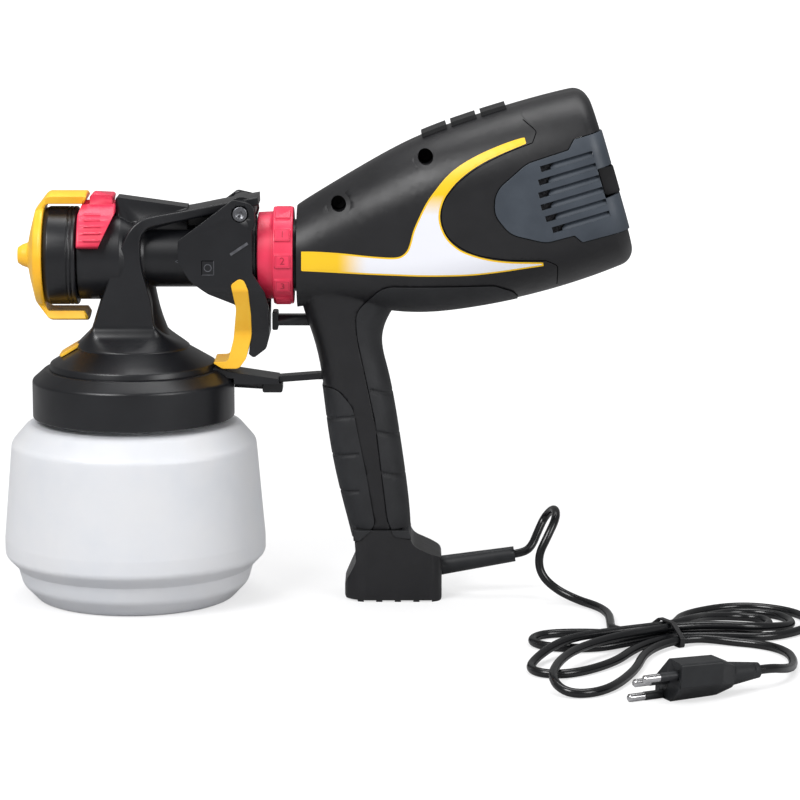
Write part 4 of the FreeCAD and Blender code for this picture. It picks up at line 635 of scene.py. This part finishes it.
ribbonMm = {
    "rows": [  # outer edge, inner edge (x, z), half width, corner radius; the foot flares to a bell on the cone
        ((-31.0, 138.4), (31.0, 138.4), 30.6, 30.0), ((-31.2, 139.8), (31.0, 139.8), 30.6, 30.0),
        ((-29.6, 142.0), (27.8, 142.0), 27.4, 24.0), ((-27.2, 144.2), (23.6, 144.2), 24.0, 16.0),
        ((-24.4, 146.8), (19.2, 146.8), 20.8, 8.0), ((-21.8, 150.0), (15.6, 150.0), 19.2, 3.0),
        ((-19.5, 154.0), (13.0, 154.0), 18.5, 1.3), ((-15.8, 165.0), (11.6, 166.0), 20.2, 1.1),
        ((-12.6, 174.0), (9.4, 175.0), 21.6, 1.1), ((-8.3, 186.5), (7.0, 185.0), 22.4, 1.1),
        ((-4.0, 196.6), (6.4, 194.6), 22.6, 1.1), ((0.0, 204.6), (6.8, 201.0), 22.2, 1.1),
        ((4.4, 209.4), (9.0, 204.8), 21.2, 1.1), ((11.0, 212.2), (13.6, 207.4), 19.8, 1.1),
        ((31.4, 215.6), (31.6, 210.4), 15.4, 1.1), ((50.0, 219.4), (50.2, 214.2), 13.6, 1.1),
        ((69.6, 223.0), (69.8, 218.0), 13.3, 1.1),
    ],
    "samples": 140, "cornerSamples": 9, "sharpAngle": 40,
}


# A rounded rectangle between two edges of the ribbon: a quarter circle about each of its corners
def ribbonSection(outer, inner, half, corner):
    outer, inner = np.array([outer[0], 0, outer[1]]), np.array([inner[0], 0, inner[1]])
    span = np.linalg.norm(inner - outer)
    across, wide = (inner - outer) / span, np.array([0.0, 1.0, 0.0])
    quarters = np.array([(1, 1), (-1, 1), (-1, -1), (1, -1)])
    turn = np.radians(np.arange(0, 360, 90)[:, None] + np.linspace(0, 90, ribbonMm["cornerSamples"]))
    u = quarters[:, :1] * (half - corner) + corner * np.cos(turn)
    v = quarters[:, 1:] * (span / 2 - corner) + corner * np.sin(turn)
    return outer + across * (span / 2 + v.reshape(-1, 1)) + wide * u.reshape(-1, 1)


ribbonRows = smoothLine([(*outer, *inner, *rest) for outer, inner, *rest in ribbonMm["rows"]], ribbonMm["samples"])
sections = [ribbonSection(row[0:2], row[2:4], row[4], row[5]) for row in ribbonRows]
# each end closes on its middle
caps = [np.tile(end.mean(0), (len(end), 1)) for end in (sections[0], sections[-1])]
ribbon = gridMesh("head_ribbon", np.array([caps[0], *sections, caps[1]]) * mm, headNylon, closedV=True)
ribbon.data.set_sharp_from_angle(angle=math.radians(ribbonMm["sharpAngle"]))
recalculated(ribbon.data)
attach(ribbon, "root")
print("ribbon on the spray head")


# Motor end: a thin collar round each sunk screw of the near half and a thin lip inside the shroud's parting line,
# which even out the shading there

motorAxisMm = {"front": 90.4, "height": 188.5, "tilt": 16.5}
collarMm = {"screws": [(31.0, 24.0), (83.0, 35.5)], "hole": 4.15, "width": 2.4, "proud": 0.05, "samples": 61}
lipMm = {"inside": 1.35, "width": 2.0, "proud": 0.05, "samples": 50}


# The side-view point u along the motor end's axis and v above it
def motorPoint(u, v):
    tilt = math.radians(motorAxisMm["tilt"])
    return (motorAxisMm["front"] + u * math.cos(tilt) - v * math.sin(tilt),
            motorAxisMm["height"] + u * math.sin(tilt) + v * math.cos(tilt))


for i, screw in enumerate(collarMm["screws"]):
    radius = collarMm["hole"] + collarMm["width"] / 2
    pressedStrip(f"screw_collar_{i + 1}", -1, circleLine(*motorPoint(*screw), radius, collarMm["samples"]),
                 ["housing_left"], collarMm["width"], collarMm["proud"], housingAbs, "root", "housing_plastic")
nose = smoothLine(partingMm["nose"][1:6], lipMm["samples"])
lipLine = nose - squareTo(np.gradient(nose, axis=0)) * lipMm["inside"]
for side, word in ((-1, "left"), (1, "right")):
    pressedStrip(f"shroud_lip_{word}", side, lipLine, ["rear_shroud"], lipMm["width"], lipMm["proud"], housingAbs,
                 "root", "housing_plastic")
print("collars and lips")


# Louvres: a sloping blade in each slot of the filter covers, from the slot's lower lip up and inwards

slotsMm = {
    "count": 6, "pitch": 6.6, "height": 3.2, "first": 13.2, "start": 134.5, "end": 168.5,
    "curve": 0.09, "curveAbout": 3,  # the slots start later, the farther they are from this one
    "bladeFrom": 5.2, "sunk": 0.35, "depth": 2.1, "spare": 0.06, "lipBelow": 0.25,
    "slant": 2.4, "tipShare": 0.35,  # the blade's end is cut on the slant, over this length and to this share
}
bladeShares = np.linspace(0, 1, 5)
for side, word in ((-1, "left"), (1, "right")):
    coverFace = surfaceOf(["filter_cover_" + word])
    for i in range(slotsMm["count"]):
        level = slotsMm["first"] - slotsMm["pitch"] * i
        bulge = slotsMm["curve"] * (i - slotsMm["curveAbout"]) ** 2 * slotsMm["pitch"]
        start = slotsMm["start"] + bulge + slotsMm["bladeFrom"]
        half = slotsMm["height"] / 2 - slotsMm["spare"]
        rows = []
        for u in np.linspace(start, slotsMm["end"] - slotsMm["spare"], 14):
            lip, _ = pressed(coverFace, side, *motorPoint(u, level - slotsMm["height"] / 2 - slotsMm["lipBelow"]))
            slant = min(1.0, (u - start) / slotsMm["slant"])
            full = slotsMm["tipShare"] + (1 - slotsMm["tipShare"]) * slant
            x, z = motorPoint(u, level - half + 2 * half * bladeShares * full)
            y = lip[1] - side * (slotsMm["sunk"] + slotsMm["depth"] * bladeShares) * mm
            rows.append(np.stack([x * mm, y, z * mm], -1))
        blade = gridMesh(f"louvre_{word}_{i + 1}", np.array(rows if side > 0 else rows[::-1]), coverAbs)
        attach(blade, body("filter_cover_" + word))
print("louvres in the filter covers")


# Cord: the lead to the tied hank, the hank and the tail to the plug

cordRoute = {
    "diameter": 4.6, "hankCentre": (285.4, -108.0), "hankHeading": 28.0, "pitch": 5.4, "tieStraight": 6.0,
    "tieGrip": 1.0, "low": 2.4, "bundleLow": 3.6, "rowRise": 0.866,
    "slots": [(2.25, 0), (1, 0), (0.5, 1), (0, 0), (-0.5, 1), (-1, 0), (-2.25, 0)],
    "loops": [  # side, slot out, slot back, length, half angle, swing, held out, held back
        (1, 0, 5, 94.0, 70.0, 8.0, 0.0, 0.0), (-1, 5, 2, 102.0, 31.0, 18.0, 0.0, 0.62),
        (1, 2, 3, 69.0, 44.0, 7.0, 0.35, 0.0), (-1, 3, 1, 73.0, 46.0, -22.0, 0.0, 0.0),
        (1, 1, 4, 82.0, 58.0, 7.0, 0.0, 0.45), (-1, 4, 6, 128.0, 25.0, 33.0, 0.88, 0.0),
    ],
    "places": (0.09, 0.2, 0.36, 0.5, 0.64, 0.8, 0.91),
    "lead": [
        (209.795, 0.0, 22.614), (215.5, 0.0, 23.5), (219.6, 1.8, 27.0), (222.6, 6.6, 33.0),
        (227.0, 12.0, 41.5), (232.0, 3.0, 48.4), (232.6, -9.0, 45.6), (227.4, -15.4, 36.0),
        (222.2, -17.4, 25.6), (223.4, -18.6, 15.4), (231.4, -20.6, 7.6), (243.0, -26.6, 2.9),
        (254.0, -40.0, 2.4), (258.6, -56.0, 2.4), (258.4, -74.0, 2.6), (257.6, -90.5, 3.0),
        (261.6, -97.5, 3.3), (267.2, -100.7, 3.6),
    ],
    "tail": [
        (310.2, -114.2, 2.9), (320.0, -117.5, 2.4), (330.5, -121.5, 2.4), (340.0, -129.0, 2.4),
        (345.5, -141.0, 2.4), (346.0, -155.0, 2.4), (344.0, -169.0, 3.0), (340.5, -180.0, 4.8),
        (335.5, -190.5, 7.4),
    ],
    "plugEnd": (322.6, -200.6, 9.4), "plugHeading": 206.0,
    "leadStraight": 6.5, "tailStraight": 9.0, "plugStraight": 8.0,  # straight into the tie, out of it, to the plug
    "dropRate": 1.4,  # how soon a strand comes down to the floor
}


# A level step in a heading
def along(heading, length):
    return np.array([math.cos(math.radians(heading)), math.sin(math.radians(heading)), 0.0]) * length


# A point from its place along, across and above the bundle's middle
def inHank(x, y, z):
    centre, heading = np.array([*cordRoute["hankCentre"], 0.0]), cordRoute["hankHeading"]
    return centre + along(heading, x) + along(heading + 90, y) + np.array([0, 0, z])


# A strand's place in the tie: how far across the bundle, and how high
def slotPlace(slot):
    across, row = cordRoute["slots"][slot]
    return across * cordRoute["pitch"], cordRoute["bundleLow"] + row * cordRoute["rowRise"] * cordRoute["pitch"]


# 0 to 1 with level ends: t squared times (3 minus 2 t)
def ease(t):
    t = min(max(t, 0.0), 1.0)
    return t * t * (3 - 2 * t)


# A loop is a petal: reach = length sin(pi t), angle = (half angle (1 - 2t) + swing) softened at the tie
def petalPoint(loop, t):
    side, out, back, length, halfAngle, swing, heldOut, heldBack = loop
    (s0, z0), (s1, z1) = slotPlace(out), slotPlace(back)
    rise = math.sin(math.pi * t)
    reach = (length - cordRoute["tieStraight"]) * rise
    turn = side if s0 > s1 else -side
    full = math.radians(turn * halfAngle * (1 - 2 * t) + swing)
    angle, lean = full * rise * (2 - rise), full * rise * (4 - 3 * rise)
    offset = s0 + (s1 - s0) * ease(t)
    start, held = (z0, heldOut) if t < 0.5 else (z1, heldBack)
    drop = ease((rise - held) / (1.0 - held) * cordRoute["dropRate"])
    return inHank(side * (cordRoute["tieStraight"] + reach * math.cos(angle)) - offset * math.sin(lean),
                  side * reach * math.sin(angle) + offset * math.cos(lean),
                  start + (cordRoute["low"] - start) * drop)


# A point of a strand in the tie, x along the bundle
def tiePoint(slot, x):
    across, height = slotPlace(slot)
    return inHank(x, across, height)


# The hank's points: in at slot 0, round every loop, straight into the tie and out of it each time, out at slot 6
def hankRoute():
    points = [tiePoint(0, -cordRoute["tieGrip"])]
    for loop in cordRoute["loops"]:
        points.append(tiePoint(loop[1], loop[0] * cordRoute["tieStraight"]))
        points.extend(petalPoint(loop, t) for t in cordRoute["places"])
        points.append(tiePoint(loop[2], loop[0] * cordRoute["tieStraight"]))
    return points + [tiePoint(6, cordRoute["tieGrip"])]


# A NURBS spline with the route's points as control points and a round bevel
def cordPiece(name, points, node):
    curve = bpy.data.curves.new(name, "CURVE")
    curve.dimensions = "3D"
    spline = curve.splines.new("NURBS")
    spline.points.add(len(points) - 1)
    spline.points.foreach_set("co", [c for p in points for c in (*(np.array(p) * mm), 1.0)])
    spline.order_u = 3
    spline.use_endpoint_u = True
    spline.resolution_u = 8
    curve.bevel_depth = cordRoute["diameter"] / 2 * mm
    curve.bevel_resolution = 5
    curve.use_fill_caps = True
    curve.materials.append(cordPvc)
    piece = placed(name, curve)
    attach(piece, "root")
    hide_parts(node)
    return piece


leadEnd, tailStart = tiePoint(0, -cordRoute["tieGrip"]), tiePoint(6, cordRoute["tieGrip"])
plugEnd = np.array(cordRoute["plugEnd"])
leadPoints = [*np.array(cordRoute["lead"]),
              leadEnd - along(cordRoute["hankHeading"], cordRoute["leadStraight"]), leadEnd]
tailPoints = [tailStart, tailStart + along(cordRoute["hankHeading"], cordRoute["tailStraight"]),
              *np.array(cordRoute["tail"]),
              plugEnd - along(cordRoute["plugHeading"], cordRoute["plugStraight"]), plugEnd]
hankPoints = hankRoute()

cordLead = cordPiece("cord_lead_pvc", leadPoints, "cord_lead")
cordHank = cordPiece("cord_hank_pvc", hankPoints, "cord_hank")
cordTail = cordPiece("cord_tail_pvc", tailPoints, "cord_tail")
print("cord laid")


# Camera, floor and light

studio = {
    "paper": (0.4, 0.4, 0.405, 1.0), "floorHalf": 14,
    "glowReach": (0.45, 1.6), "glow": (0.6, 1.0),  # metres from the tool, and how bright the paper looks there
    "room": (0.5, 1.0), "mirror": -0.22,  # the room's light, and as seen; plastics reflect a dimmer one
    "lamps": [  # name, place, aim, size in metres, power
        ("key_softbox", (-0.9, -1.3, 1.5), (0.1, 0, 0.12), (0.9, 0.9), 32),
        ("fill_softbox", (1.5, -1.4, 0.9), (0.15, 0, 0.12), (0.9, 0.9), 16),
        ("top_softbox", (0.2, 0.3, 1.7), (0.12, 0, 0.1), (1.4, 0.8), 14),
    ],
    "camera": (0.1463, -1.723, 0.413), "tilt": 80, "lens": 143.2, "sensor": 36,
}

# pale paper: shadow in its grey part, white elsewhere
floorMaterial = bpy.data.materials.new("studio_floor_paper")
floorMaterial.use_nodes = True
shader = floorMaterial.node_tree.nodes["Principled BSDF"]
shader.inputs["Base Color"].default_value = studio["paper"]
shader.inputs["Roughness"].default_value = 1.0
shader.inputs["Specular IOR Level"].default_value = 0.0
rays = addNode(floorMaterial, "ShaderNodeLightPath")
seen = addNode(floorMaterial, "ShaderNodeMath", {"operation": "MAXIMUM"},
               i0=(rays, "Is Camera Ray"), i1=(rays, "Is Transmission Ray"))
floorPlace = addNode(floorMaterial, "ShaderNodeTexCoord")
floorReach = addNode(floorMaterial, "ShaderNodeVectorMath", {"operation": "LENGTH"}, i0=(floorPlace, "Object"))
(near, far), (dim, bright) = studio["glowReach"], studio["glow"]
floorGlow = addNode(floorMaterial, "ShaderNodeMapRange",
                    {"From Min": near, "From Max": far, "To Min": dim, "To Max": bright},
                    Value=(floorReach, "Value"))
glow = addNode(floorMaterial, "ShaderNodeEmission", {"Color": (1, 1, 1, 1)})
glowLevel = addNode(floorMaterial, "ShaderNodeMath", {"operation": "MULTIPLY"},
                    i0=(seen, "Value"), i1=(floorGlow, "Result"))
floorMaterial.node_tree.links.new(glowLevel.outputs["Value"], glow.inputs["Strength"])
both = addNode(floorMaterial, "ShaderNodeAddShader", i0=(shader, "BSDF"), i1=(glow, "Emission"))
paperOutput = floorMaterial.node_tree.nodes["Material Output"]
floorMaterial.node_tree.links.new(both.outputs["Shader"], paperOutput.inputs["Surface"])
reach = np.linspace(-studio["floorHalf"], studio["floorHalf"], 3)
floorX, floorY = np.meshgrid(reach, reach, indexing="ij")
floor = gridMesh("studio_floor", np.stack([floorX, floorY, 0 * floorX], -1), floorMaterial, smooth=False)

world = bpy.data.worlds.new("studio")
bpy.context.scene.world = world
world.use_nodes = True
background = world.node_tree.nodes["Background"]
background.inputs["Color"].default_value = (1, 1, 1, 1)
rays = addNode(world, "ShaderNodeLightPath")
seen = addNode(world, "ShaderNodeMath", {"operation": "MAXIMUM"},
               i0=(rays, "Is Camera Ray"), i1=(rays, "Is Transmission Ray"))
dim, bright = studio["room"]
level = addNode(world, "ShaderNodeMapRange", {"To Min": dim, "To Max": bright}, Value=(seen, "Value"))
mirror = addNode(world, "ShaderNodeMath", {"operation": "MULTIPLY_ADD"},
                 i0=(rays, "Is Glossy Ray"), i2=(level, "Result"))
mirror.inputs[1].default_value = studio["mirror"]
world.node_tree.links.new(mirror.outputs["Value"], background.inputs["Strength"])


# A rectangular softbox turned from its place towards its aim
def areaLamp(name, place, aim, size, power):
    lamp = bpy.data.lights.new(name, "AREA")
    lamp.shape = "RECTANGLE"
    lamp.size, lamp.size_y = size
    lamp.energy = power
    holder = placed(name, lamp)
    holder.location = place
    towards = mathutils.Vector(aim) - mathutils.Vector(place)
    holder.rotation_euler = towards.to_track_quat("-Z", "Y").to_euler()


for lamp in studio["lamps"]:
    areaLamp(*lamp)

camera = placed("camera", bpy.data.cameras.new("camera"))
camera.data.lens, camera.data.sensor_width = studio["lens"], studio["sensor"]
camera.location = studio["camera"]
camera.rotation_euler = (math.radians(studio["tilt"]), 0, 0)
bpy.context.scene.camera = camera
bpy.context.scene.view_settings.view_transform = "Standard"
print("camera and lights set")
